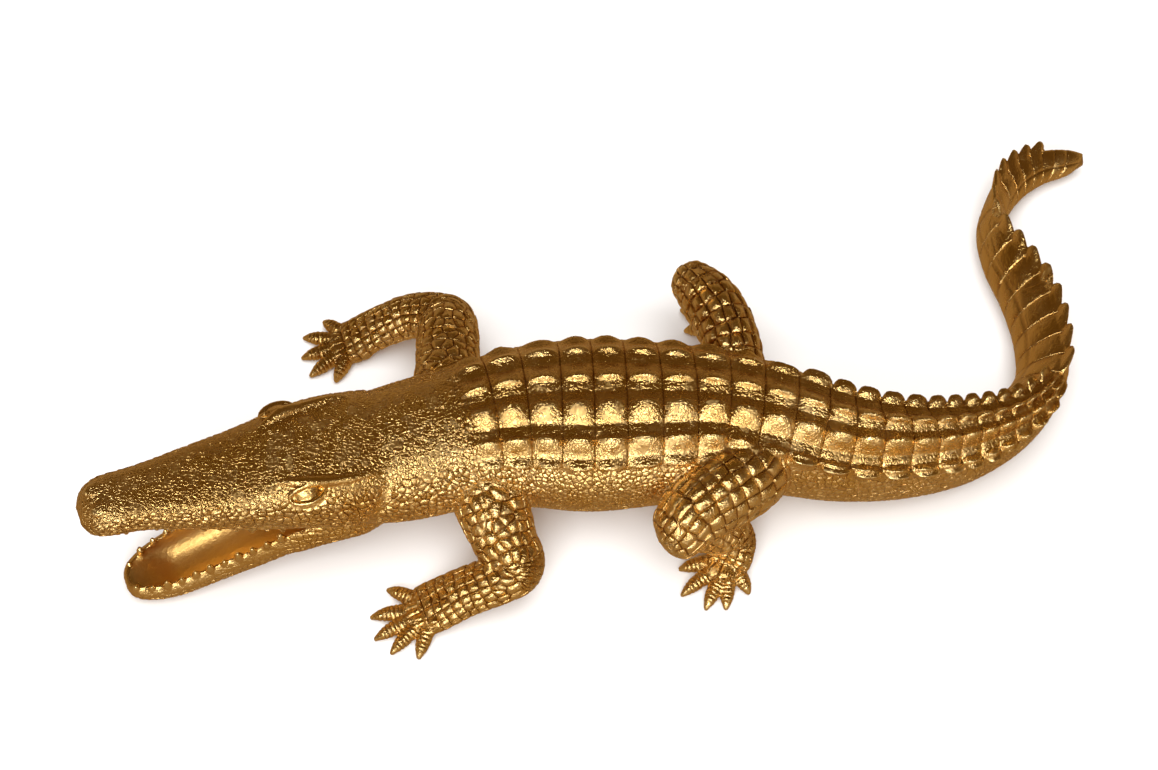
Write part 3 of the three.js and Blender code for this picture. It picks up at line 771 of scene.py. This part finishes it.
# Studio, in metres and degrees, the lens in millimetres
FLOOR_REACH = 6
SURROUND_STOPS = [(0.0, (0.36, 0.235, 0.11, 1)), (0.42, (0.105, 0.056, 0.014, 1))]
CAMERA = {"elevation": 60, "distance": 1.396, "lens": 70.0}


def outline_gap(ratio, x, y, past, raised=0.0):
    """Distance to a section's outline, negative inside: ratio to its size, offsets, distance past its end."""
    gap = (ratio - 1) * np.hypot(x, y) / np.maximum(ratio, LEAST_RATIO) - raised
    return np.where(gap > 0, np.hypot(gap, past), gap)


class Skin:
    """Where each point of the figure lies: on the trunk, the jaws or a limb, with its coordinates there."""

    def __init__(self, points):
        self.points = points
        self.gaps = {}
        self.trunk_place()
        self.head_place()
        self.limb_place = {}
        for name, line in LIMBS.items():
            d, x, y, past, width, height = line.locate(points)
            self.gaps[name] = outline_gap(np.hypot(x / width, y / height), x, y, past)
            self.limb_place[name] = (d, np.arctan2(x / width, y / height))
        away = np.abs(np.array(list(self.gaps.values())))
        self.owner = np.argmin(away, axis=0)
        self.nearest, self.second = np.partition(away, 1, axis=0)[:2]

    def trunk_place(self):
        d, x, y, past, width, height = SPINE.locate(self.points)
        narrower = narrowing(d)
        c = np.clip(y / height, -1, 1)
        for _ in range(2):
            wide = width * (1 - narrower * c)
            c = (y / height) / np.maximum(np.hypot(x / wide, y / height), LEAST_RATIO)
        self.distance = d
        self.angle = np.degrees(np.arctan2(x / wide, y / height))
        self.girth = (wide + height) / 2
        ratio = np.hypot(x / wide, y / height)
        self.gaps["trunk"] = outline_gap(ratio, x, y, past, plate_raise(d, self.angle))

    def head_place(self):
        offset = self.points - HEAD_ORIGIN
        self.forward = offset @ FORWARD
        self.left = offset @ LEFT
        _, up, width, rise, drop, _ = self.jaw_place("upper", UPPER_JAW, UPPER_POWERS, 0.0)
        upward = up / np.where(up > 0, rise, drop)
        self.head_angle = np.degrees(np.arctan2(np.abs(self.left) / width, upward))
        self.palate_height = np.where(np.abs(self.left) < width * 0.9, upward, 0)
        left, up, width, rise, drop, ratio = self.jaw_place("lower", LOWER_JAW, LOWER_POWERS, JAW_SIDEWAYS)
        self.in_trough = (up > -drop) & (np.abs(left) < width - 2.5) & (ratio < 0.94)
        self.rim_height = up / rise

    def jaw_place(self, name, rows, powers, sideways):
        """Offsets to the left and upward in a jaw, its sizes there, and the offsets' ratio to them."""
        inside = np.clip(self.forward, rows[0][0], rows[-1][0])
        height, width, rise, drop = jaw_sizes(rows, inside)
        left, up = self.left - sideways * inside, self.points[:, 2] - height
        n = 2 / np.where(up > 0, powers[0], powers[1])
        ratio = (np.abs(left / width) ** n + np.abs(up / np.where(up > 0, rise, drop)) ** n) ** (1 / n)
        self.gaps[name] = outline_gap(ratio, left, up, self.forward - inside)
        return left, up, width, rise, drop, ratio

    def owned(self, name):
        return self.owner == list(self.gaps).index(name)

    def nearness(self, name):
        """1 where a part carries the surface, fading to 0 where another one is nearer."""
        return 1 - ease(0, PART_BLEND, np.abs(self.gaps[name]) - self.nearest)


def plate_count(distance):
    """Plates counted along the spine, whole numbers at the seams."""
    ahead = (distance - SEAMS[0]) / (SEAMS[1] - SEAMS[0])
    return np.where(distance < SEAMS[0], ahead, np.interp(distance, SEAMS, np.arange(len(SEAMS))))


def counted_pebbles(distance):
    along, size = zip(*PEBBLE_SIZES)
    steps = np.arange(0, SPINE.total, PEBBLE_STEP)
    counts = np.concatenate([[0], np.cumsum(PEBBLE_STEP / np.interp(steps, along, size))[:-1]])
    return np.interp(distance, steps, counts), np.interp(distance, along, size)


def trunk_cells(skin, plates, on_ribbon):
    """Places on the trunk: pebbles on the sides, broad rows on the belly, panels on the ribbon."""
    d, angle, girth = skin.distance, skin.angle, skin.girth
    bare = np.abs(angle)
    on_belly = bare >= BELLY_FROM
    count, size = counted_pebbles(d)
    pebbles = np.stack([count, np.radians(bare - 90) * girth / size], 1)
    round_belly = np.radians(180 - bare) * np.sign(angle) * girth
    belly = np.stack([d / BELLY_SCALE[0], round_belly / BELLY_SCALE[1]], 1)
    panels = np.stack([plates + 0.5, bare / PANEL_BREADTH + 0.5], 1)
    place = np.where(on_belly[:, None], belly, pebbles)
    place = np.where(on_ribbon[:, None], panels, place)
    uneven = np.where(on_belly, BELLY_UNEVEN, PEBBLE_UNEVEN) * ~on_ribbon
    return np.concatenate([place, uneven[:, None]], 1)


def trunk_scales(skin):
    """Places and weights of the patterns on the trunk and the tail, which ends in a flat ribbon."""
    d, bare = skin.distance, np.abs(skin.angle)
    plates = plate_count(seam_place(d, bare))
    edge = armour_edge(d)
    onset = ease(PLATES_START - 6, PLATES_START + 10, d)
    ribbon = ease(*RIBBON_ONSET, d)
    before_ribbon = 1 - ease(0.2, 0.45, ribbon)
    armour = onset * (1 - ease(edge - 2, edge + 1, bare)) * (1 - ribbon)
    nape = (1 - ease(36, 58, bare)) * (1 - ease(76, 92, d))
    pebble_end = 1 - ease(BELLY_FROM - 7, BELLY_FROM - 1, bare)
    bare_skin = (1 - armour) * (1 - nape)
    pebbles = pebble_end * bare_skin * before_ribbon * (1 - 0.4 * ease(95, 150, d))
    under = ease(BELLY_FROM + 1, BELLY_FROM + 7, bare) * before_ribbon
    panels = ease(0.55, 0.8, ribbon)
    large = np.max([under, pebbles, 0.4 * panels], axis=0)
    leather = (0.2 + 0.8 * nape + 0.3 * armour) * (1 - 0.8 * panels)
    return trunk_cells(skin, plates, ribbon > 0.5), large, plates, np.maximum(armour, 0.5 * panels), leather


def pebble_cells(along, across):
    return np.stack([along, across, np.full(len(along), PEBBLE_UNEVEN)], 1)


def limb_cells(name, distance, turn):
    """Places of a limb's scales in cells, and their unevenness."""
    kind = LIMB_SCALES[name.split("_")[1]]
    line = LIMBS[name]
    across = turn * float((line.width + line.height).mean()) / 2
    uneven = kind["uneven"][0] + (kind["uneven"][1] - kind["uneven"][0]) * distance / line.total
    return np.stack([distance / kind["size"][0], across / kind["size"][1], uneven], 1)


def smooth_places(height, skin, upper):
    """1 where no scales are: on added forms, in the mouth and round the eyes. Then the mouth alone."""
    added = ease(1.4, 3.2, skin.nearest) * ease(16, 20, height)
    palate = ease(-0.35, -0.75, skin.palate_height) * upper * ease(34, 44, skin.forward)
    mouth = np.maximum(skin.in_trough * skin.nearness("lower"), palate)
    to_eye = np.hypot((skin.forward - EYE["forward"]) / 12, (height - EYE["height"]) / 7)
    round_eye = (1 - ease(0.85, 1.1, to_eye)) * (np.abs(skin.left) > 20)
    return np.max([added, mouth, round_eye], axis=0), mouth


def scale_places(points, skin):
    """Two vectors and two numbers for each point. Place: two coordinates in cells and the unevenness of the
    cells. Skin: plates counted along the spine, weight of the seams between them, weight of the leathery
    grain. Then the weight of the cells, and that of the smooth inside of the mouth."""
    height = points[:, 2]
    place, cells, plates, seams, leather = trunk_scales(skin)
    seams = seams * skin.nearness("trunk")
    upper = skin.nearness("upper")
    side = ease(44, 60, skin.head_angle)
    leather = leather * (1 - upper) + (1 - 0.6 * side) * upper

    mine = skin.owned("upper")
    width = np.interp(skin.forward, [row[0] for row in UPPER_JAW], [row[2] for row in UPPER_JAW])
    across = np.radians(skin.head_angle) * (0.35 * width + 18)
    place[mine] = pebble_cells(skin.forward / HEAD_PEBBLE + 0.3, across / HEAD_PEBBLE)[mine]
    cells = np.where(mine, side, cells)

    mine = skin.owned("lower")
    rim = ease(-0.2, 0.6, skin.rim_height)
    place[mine] = pebble_cells(skin.forward / JAW_PEBBLE, height / JAW_PEBBLE)[mine]
    cells = np.where(mine, 0.6 - 0.6 * rim * ease(30, 60, skin.forward), cells)

    for name in LIMBS:
        distance, turn = skin.limb_place[name]
        mine = skin.owned(name)
        place[mine] = limb_cells(name, distance[mine], turn[mine])
        away_from_seam = 1 - ease(2.6, 2.85, np.abs(turn))
        cells = np.where(mine, SCALE_STRENGTH[name] * away_from_seam, cells)
        leather = np.where(mine, LIMB_LEATHER, leather)

    smooth, mouth = smooth_places(height, skin, upper)
    one_part = ease(0.1, 1.6, skin.second - skin.nearest)
    cells = cells * one_part * (1 - smooth)
    place, cells, smooth = toe_bands(points, place, cells, smooth)
    return place, np.stack([plates, seams * (1 - smooth), leather * (1 - smooth)], 1), cells, mouth


def toe_places(points, foot):
    """Distance of each point from the nearest toe, share of that toe's length, and its length up to there."""
    offsets = points[:, :2] - np.array(foot["palm"], float)
    places = []
    for tip in foot["toes"]:
        axis = np.array(tip, float) - np.array(foot["palm"], float)
        reach = np.linalg.norm(axis)
        share = np.clip(offsets @ axis / reach ** 2, 0, 1)
        places.append([np.hypot(*(offsets - share[:, None] * axis).T), share, share * reach])
    places = np.array(places)
    nearest = np.argmin(places[:, 0], axis=0)
    return places[nearest, :, np.arange(len(points))].T


def toe_bands(points, place, cells, smooth):
    """Bands across the toes, and smooth claws."""
    for foot in FEET:
        from_palm = np.hypot(*(points[:, :2] - np.array(foot["palm"], float)).T)
        near = (from_palm < FOOT_REACH) & (points[:, 2] < FOOT_HEIGHT)
        away, share, length = toe_places(points[near], foot)
        claw = ease(0.86, 0.92, share)
        beyond = ease(0.40, 0.46, share)
        band = ease(0.47, 0.54, share) * (1 - claw) * (1 - ease(4.6, 6.2, away))
        level = np.zeros(len(share))
        bands = np.stack([length / TOE_BAND, level, level], 1)
        place[near] = np.where((share > TOE_BANDS_FROM)[:, None], bands, place[near])
        cells[near] = cells[near] * (1 - beyond) + 0.8 * band
        smooth[near] = np.maximum(smooth[near], claw)
    return place, cells, smooth


def store(mesh, name, values):
    """Keeps one number or one vector for each point of a mesh."""
    old = mesh.attributes.get(name)
    if old:
        mesh.attributes.remove(old)
    vector = values.ndim == 2
    attribute = mesh.attributes.new(name, "FLOAT_VECTOR" if vector else "FLOAT", "POINT")
    attribute.data.foreach_set("vector" if vector else "value", np.asarray(values, np.float32).ravel())


def store_places(mesh, points, skin):
    names = ("scale_place", "skin_place", "scale_weight", "mouth_weight")
    for name, values in zip(names, scale_places(points, skin)):
        store(mesh, name, values)


class Kit:
    """Makes the nodes that the relief and the material share, in a geometry or a material tree."""

    def __init__(self, tree):
        self.tree = tree
        self.solid = tree.bl_idname == "GeometryNodeTree"

    def node(self, kind, inputs=(), **settings):
        made = self.tree.nodes.new(kind)
        for name, value in settings.items():
            setattr(made, name, value)
        for socket, value in inputs:
            if isinstance(value, bpy.types.NodeSocket):
                self.tree.links.new(value, made.inputs[socket])
            else:
                made.inputs[socket].default_value = value
        return made

    def stored(self, name, kind="FLOAT_VECTOR"):
        if self.solid:
            node = self.node("GeometryNodeInputNamedAttribute", [("Name", name)], data_type=kind)
            return node.outputs["Attribute"]
        output = "Vector" if kind == "FLOAT_VECTOR" else "Fac"
        return self.node("ShaderNodeAttribute", attribute_name=name).outputs[output]

    def parts(self, vector):
        node = self.node("ShaderNodeSeparateXYZ", [("Vector", vector)])
        return [node.outputs[axis] for axis in "XYZ"]

    def maths(self, operation, a, b=0.0):
        return self.node("ShaderNodeMath", [(0, a), (1, b)], operation=operation).outputs[0]

    def vectors(self, operation, a, b, output="Vector"):
        return self.node("ShaderNodeVectorMath", [(0, a), (1, b)], operation=operation).outputs[output]

    def ramp(self, value, low, high, to_low=0.0, to_high=1.0, curve="SMOOTHSTEP"):
        inputs = [("Value", value), ("From Min", low), ("From Max", high)]
        inputs += [("To Min", to_low), ("To Max", to_high)]
        return self.node("ShaderNodeMapRange", inputs, interpolation_type=curve).outputs["Result"]

    def cells(self, vector, dimensions, scale, uneven, feature):
        inputs = [("Vector", vector), ("Scale", scale), ("Randomness", uneven)]
        return self.node("ShaderNodeTexVoronoi", inputs, voronoi_dimensions=dimensions, feature=feature)

    def noise(self, vector, scale, detail, distortion=0.0, roughness=0.5, output="Fac"):
        inputs = [("Vector", vector), ("Scale", scale), ("Detail", detail)]
        inputs += [("Distortion", distortion), ("Roughness", roughness)]
        return self.node("ShaderNodeTexNoise", inputs).outputs[output]

    def blend(self, factor, low, high):
        inputs = [("Factor", factor), (6, low), (7, high)]
        return self.node("ShaderNodeMix", inputs, data_type="RGBA").outputs[2]


def cell_height(kit, cell):
    """Height in mm of a scale, which has a crown and leans at random, and the distance to its edge."""
    uneven = kit.parts(cell)[2]
    edge = kit.cells(cell, "2D", 1.0, uneven, "DISTANCE_TO_EDGE").outputs["Distance"]
    nearest = kit.cells(cell, "2D", 1.0, uneven, "F1")
    offset = kit.vectors("SUBTRACT", cell, nearest.outputs["Position"])
    chance = kit.vectors("SUBTRACT", nearest.outputs["Color"], MIDDLE)
    chance = kit.vectors("MULTIPLY", chance, (SCALE_LEAN, SCALE_LEAN, 0))
    lean = kit.vectors("DOT_PRODUCT", offset, chance, "Value")
    level = kit.ramp(edge, 0, SCALE_RIM, 0, SCALE_DEPTH)
    crown = kit.ramp(edge, 0, SCALE_CROWN_REACH, 0, SCALE_CROWN)
    return kit.maths("ADD", kit.maths("ADD", level, crown), lean), edge


def scale_height(kit):
    """Height in mm of the scales and the seams, and the strength of the painted shade in their grooves and
    along the seams, up to 1.
    """
    weight = kit.stored("scale_weight", "FLOAT")
    plates, seams, _ = kit.parts(kit.stored("skin_place"))
    body, edge = cell_height(kit, kit.stored("scale_place"))
    within = kit.maths("FRACT", plates)
    near_seam = kit.maths("MINIMUM", within, kit.maths("SUBTRACT", 1.0, within))
    seam = kit.ramp(near_seam, 0, SEAM_BREADTH, -SEAM_DEPTH, 0)
    height = kit.maths("ADD", kit.maths("MULTIPLY", weight, body), kit.maths("MULTIPLY", seams, seam))
    # Painted shade in the grooves round the scales and along the seams between plates
    groove = kit.maths("MULTIPLY", kit.maths("MINIMUM", weight, 1.0), kit.ramp(edge, *GROOVE_SHADE_EDGES, 1, 0))
    line = kit.maths("MULTIPLY", seams, kit.ramp(near_seam, *SEAM_SHADE_EDGES, SEAM_SHADE_DARKNESS, 0))
    return height, kit.maths("MAXIMUM", groove, line)


def relief_tree():
    """Geometry nodes that store the height of the scales on the points of a mesh."""
    tree = bpy.data.node_groups.new("scale_relief", "GeometryNodeTree")
    for way in ("INPUT", "OUTPUT"):
        tree.interface.new_socket("Geometry", in_out=way, socket_type="NodeSocketGeometry")
    kit = Kit(tree)
    height, _ = scale_height(kit)
    start = kit.node("NodeGroupInput").outputs[0]
    inputs = [("Geometry", start), ("Name", "relief"), ("Value", height)]
    keep = kit.node("GeometryNodeStoreNamedAttribute", inputs, data_type="FLOAT", domain="POINT")
    kit.node("NodeGroupOutput", [(0, keep.outputs["Geometry"])])
    return tree


def scale_relief(obj, points, skin):
    """Relief in mm at each point of the dense skin, none at the soles."""
    store_places(obj.data, points, skin)
    mesh = modified(obj, "NODES", node_group=relief_tree())
    stored = (mesh.attributes[name].data for name in ("relief", "scale_weight"))
    relief, weight = (listed(data, "value", 1)[:, 0] for data in stored)
    sole = ease(0.2, 1.6, points[:, 2])
    return mesh, (relief.astype(float) - SCALE_DEPTH * weight) * sole


def drop_strays(mesh):
    """Takes out flat scraps, whose points have fewer than three faces, and closes what they leave open."""
    work = bmesh.new()
    work.from_mesh(mesh)
    strays = [point for point in work.verts if len(point.link_faces) < 3]
    bmesh.ops.delete(work, geom=strays, context="VERTS")
    rims = [edge for edge in work.edges if edge.is_boundary]
    filled = bmesh.ops.holes_fill(work, edges=rims, sides=0)
    bmesh.ops.triangulate(work, faces=filled["faces"])
    work.to_mesh(mesh)
    work.free()
    mesh.update()


def soft_joints(points, edges, skin):
    """Evens out the skin a little, and more where two parts meet."""
    joint = 1 - ease(*JOINT_REACH, skin.second)
    joint = joint * (points[:, 2] > 0.3) * (1 - skin.in_trough)
    points = smoothed(points, edges, 0.15 + 0.55 * joint, 3)
    return smoothed(points, edges, 0.6 * joint, 12)


def cast():
    """The rough forms fused into one skin, softened at the joints, carved with scales, and then reduced."""
    points, quads = joined(rough_forms())
    obj = placed("crocodile_cast", new_mesh("crocodile_cast", (points + CENTRE_SHIFT) * MM, quads))
    mesh = modified(obj, "REMESH", mode="VOXEL", voxel_size=VOXEL * MM, adaptivity=0)
    points = points_of(mesh)
    points[:, 2] = np.maximum(points[:, 2], 0)
    skin = Skin(points)
    points = soft_joints(points, listed(mesh.edges, "vertices", 2, np.int32), skin)
    set_points(mesh, points)
    mesh, relief = scale_relief(obj, points, skin)
    set_points(mesh, points + normals_of(mesh) * relief[:, None])
    triangles = 2 * len(mesh.polygons)
    mesh = modified(obj, "DECIMATE", ratio=min(1, MOST_TRIANGLES / triangles))
    drop_strays(mesh)
    points = points_of(mesh)
    store_places(mesh, points, Skin(points))
    mesh.polygons.foreach_set("use_smooth", np.ones(len(mesh.polygons), bool))
    mesh.update()
    return obj


def new_material(name, values):
    """A material with some constant values, and its shader."""
    material = bpy.data.materials.new(name)
    material.use_nodes = True
    shader = material.node_tree.nodes["Principled BSDF"]
    for socket, value in values.items():
        shader.inputs[socket].default_value = value
    return material, shader


def leathery(kit, place):
    """Height in mm of the fine grain, and of the creases in the leather between the scales."""
    drift = kit.vectors("SUBTRACT", kit.noise(place, NOISE["drift"], 2, output="Color"), MIDDLE)
    crinkled = kit.vectors("ADD", place, kit.vectors("MULTIPLY", drift, CREASE_DRIFT))
    crease = kit.cells(crinkled, "3D", 1000 / CREASE_SIZE, 1.0, "DISTANCE_TO_EDGE").outputs["Distance"]
    creases = kit.ramp(crease, 0, CREASE_BREADTH, 0, CREASE_DEPTH)
    grain = kit.maths("MULTIPLY", kit.noise(place, NOISE["grain"], 4, 0.5, 0.6), GRAIN_DEPTH)
    return grain, kit.maths("MULTIPLY", creases, kit.parts(kit.stored("skin_place"))[2])


def lacquer(kit, place, mouth, painted_shade):
    """Colour of the gold: uneven on the faces, with a painted highlight on the edges, and painted shade in
    concave places and in the grooves.
    """
    pointiness = kit.node("ShaderNodeNewGeometry").outputs["Pointiness"]
    patches = kit.ramp(kit.noise(place, NOISE["patches"], 3), 0.35, 0.65, curve="LINEAR")
    # 0 in concave places, which get painted shade
    raised = kit.ramp(pointiness, *SHADED_HOLLOW_POINTINESS, curve="LINEAR")
    # 1 on convex edges, which get a painted highlight
    edges = kit.ramp(pointiness, *HIGHLIGHT_EDGE_POINTINESS, curve="LINEAR")
    faces = kit.blend(patches, GOLD["deep_patch"], GOLD["pale_patch"])
    # Painted highlight on the edges, but not in the mouth
    highlighted_faces = kit.blend(mouth, kit.blend(edges, faces, GOLD["painted_edge_highlight"]), GOLD["mouth"])
    # Painted shade in concave places
    colour_with_shaded_hollows = kit.blend(raised, GOLD["hollow"], highlighted_faces)
    # Painted shade in the grooves round the scales and along the seams between plates
    return kit.blend(kit.maths("MULTIPLY", painted_shade, GROOVE_SHADE_DARKNESS), colour_with_shaded_hollows, GOLD["groove"])


def gold():
    """Gold lacquer: painted shade in the grooves and concave places, a painted highlight on the edges, a
    little uneven, with a leathery grain.
    """
    material, shader = new_material("gold_finish", {"Metallic": 1.0})
    kit = Kit(material.node_tree)
    links = material.node_tree.links
    place = kit.node("ShaderNodeTexCoord").outputs["Object"]
    mouth = kit.stored("mouth_weight", "FLOAT")
    # The second value is the painted shade of the grooves and seams
    height, painted_shade = scale_height(kit)
    grain, creases = leathery(kit, place)
    height = kit.maths("ADD", kit.maths("ADD", height, grain), creases)
    gloss = kit.ramp(kit.noise(place, NOISE["gloss"], 4), 0.3, 0.7, *GOLD_ROUGHNESS, "LINEAR")
    roughness = kit.maths("ADD", gloss, kit.maths("MULTIPLY", mouth, MOUTH_ROUGHNESS))
    bump = kit.node("ShaderNodeBump", [("Strength", 1.0), ("Distance", MM), ("Height", height)])
    links.new(lacquer(kit, place, mouth, painted_shade), shader.inputs["Base Color"])
    links.new(roughness, shader.inputs["Roughness"])
    links.new(bump.outputs["Normal"], shader.inputs["Normal"])
    return material


def look_from(obj, target, elevation, azimuth, distance):
    """Places an object to look at a target."""
    e, a = math.radians(elevation), math.radians(azimuth)
    away = Vector((math.sin(a) * math.cos(e), -math.cos(a) * math.cos(e), math.sin(e)))
    obj.location = target + away * distance
    obj.rotation_mode = "QUATERNION"
    obj.rotation_quaternion = away.to_track_quat("Z", "Y")


def pale_floor():
    corners = FLOOR_REACH * np.array([[-1, -1, 0], [1, -1, 0], [1, 1, 0], [-1, 1, 0]])
    ground = placed("floor", new_mesh("floor", corners, [[0, 1, 2, 3]]))
    pale, _ = new_material("pale_floor", {
        "Base Color": (0.90, 0.90, 0.90, 1), "Roughness": 0.9, "Specular IOR Level": 0.1})
    ground.data.materials.append(pale)
    ground.visible_glossy = False
    return ground


def area_light(name, elevation, azimuth, distance, width, height, radiance, glossy=True):
    light = bpy.data.lights.new(name, "AREA")
    light.shape = "RECTANGLE"
    light.size = width
    light.size_y = height
    light.energy = radiance * math.pi * width * height
    lamp = placed(name, light)
    look_from(lamp, Vector(), elevation, azimuth, distance)
    lamp.visible_glossy = glossy
    lamp.visible_camera = False


def lights():
    """Soft light from the viewer's side, a bright strip for the highlights, and a fill for the floor."""
    area_light("front_softbox", elevation=30, azimuth=0, distance=2.2, width=3.2, height=1.5, radiance=0.9)
    area_light("front_strip", elevation=45, azimuth=-8, distance=2.2, width=1.6, height=0.42, radiance=10.0)
    area_light("overhead_fill", elevation=88, azimuth=0, distance=2.6, width=3.0, height=3.0, radiance=3.7,
               glossy=False)


def surround():
    """Dim warm surround, darker upward."""
    world = bpy.data.worlds.new("surround")
    bpy.context.scene.world = world
    world.use_nodes = True
    kit = Kit(world.node_tree)
    direction = kit.node("ShaderNodeTexCoord").outputs["Generated"]
    ramp = kit.node("ShaderNodeValToRGB", [("Fac", kit.parts(direction)[2])])
    for stop, (position, colour) in zip(ramp.color_ramp.elements, SURROUND_STOPS):
        stop.position = position
        stop.color = colour
    background = world.node_tree.nodes["Background"]
    world.node_tree.links.new(ramp.outputs["Color"], background.inputs["Color"])
    background.inputs["Strength"].default_value = 1.0


def camera():
    """Seen from the left side, from high above the floor."""
    data = bpy.data.cameras.new("camera")
    data.lens = CAMERA["lens"]
    data.sensor_width = 36
    data.clip_end = 30
    viewer = placed("camera", data)
    target = Vector((CENTRE_SHIFT[0] * MM, CENTRE_SHIFT[1] * MM, 0))
    look_from(viewer, target, CAMERA["elevation"], 0, CAMERA["distance"])
    bpy.context.scene.camera = viewer


figure = cast()
figure.data.materials.clear()
figure.data.materials.append(gold())
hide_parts("crocodile")
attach(figure, "root")
floor = pale_floor()
lights()
surround()
camera()
bpy.context.scene.view_settings.view_transform = "Standard"
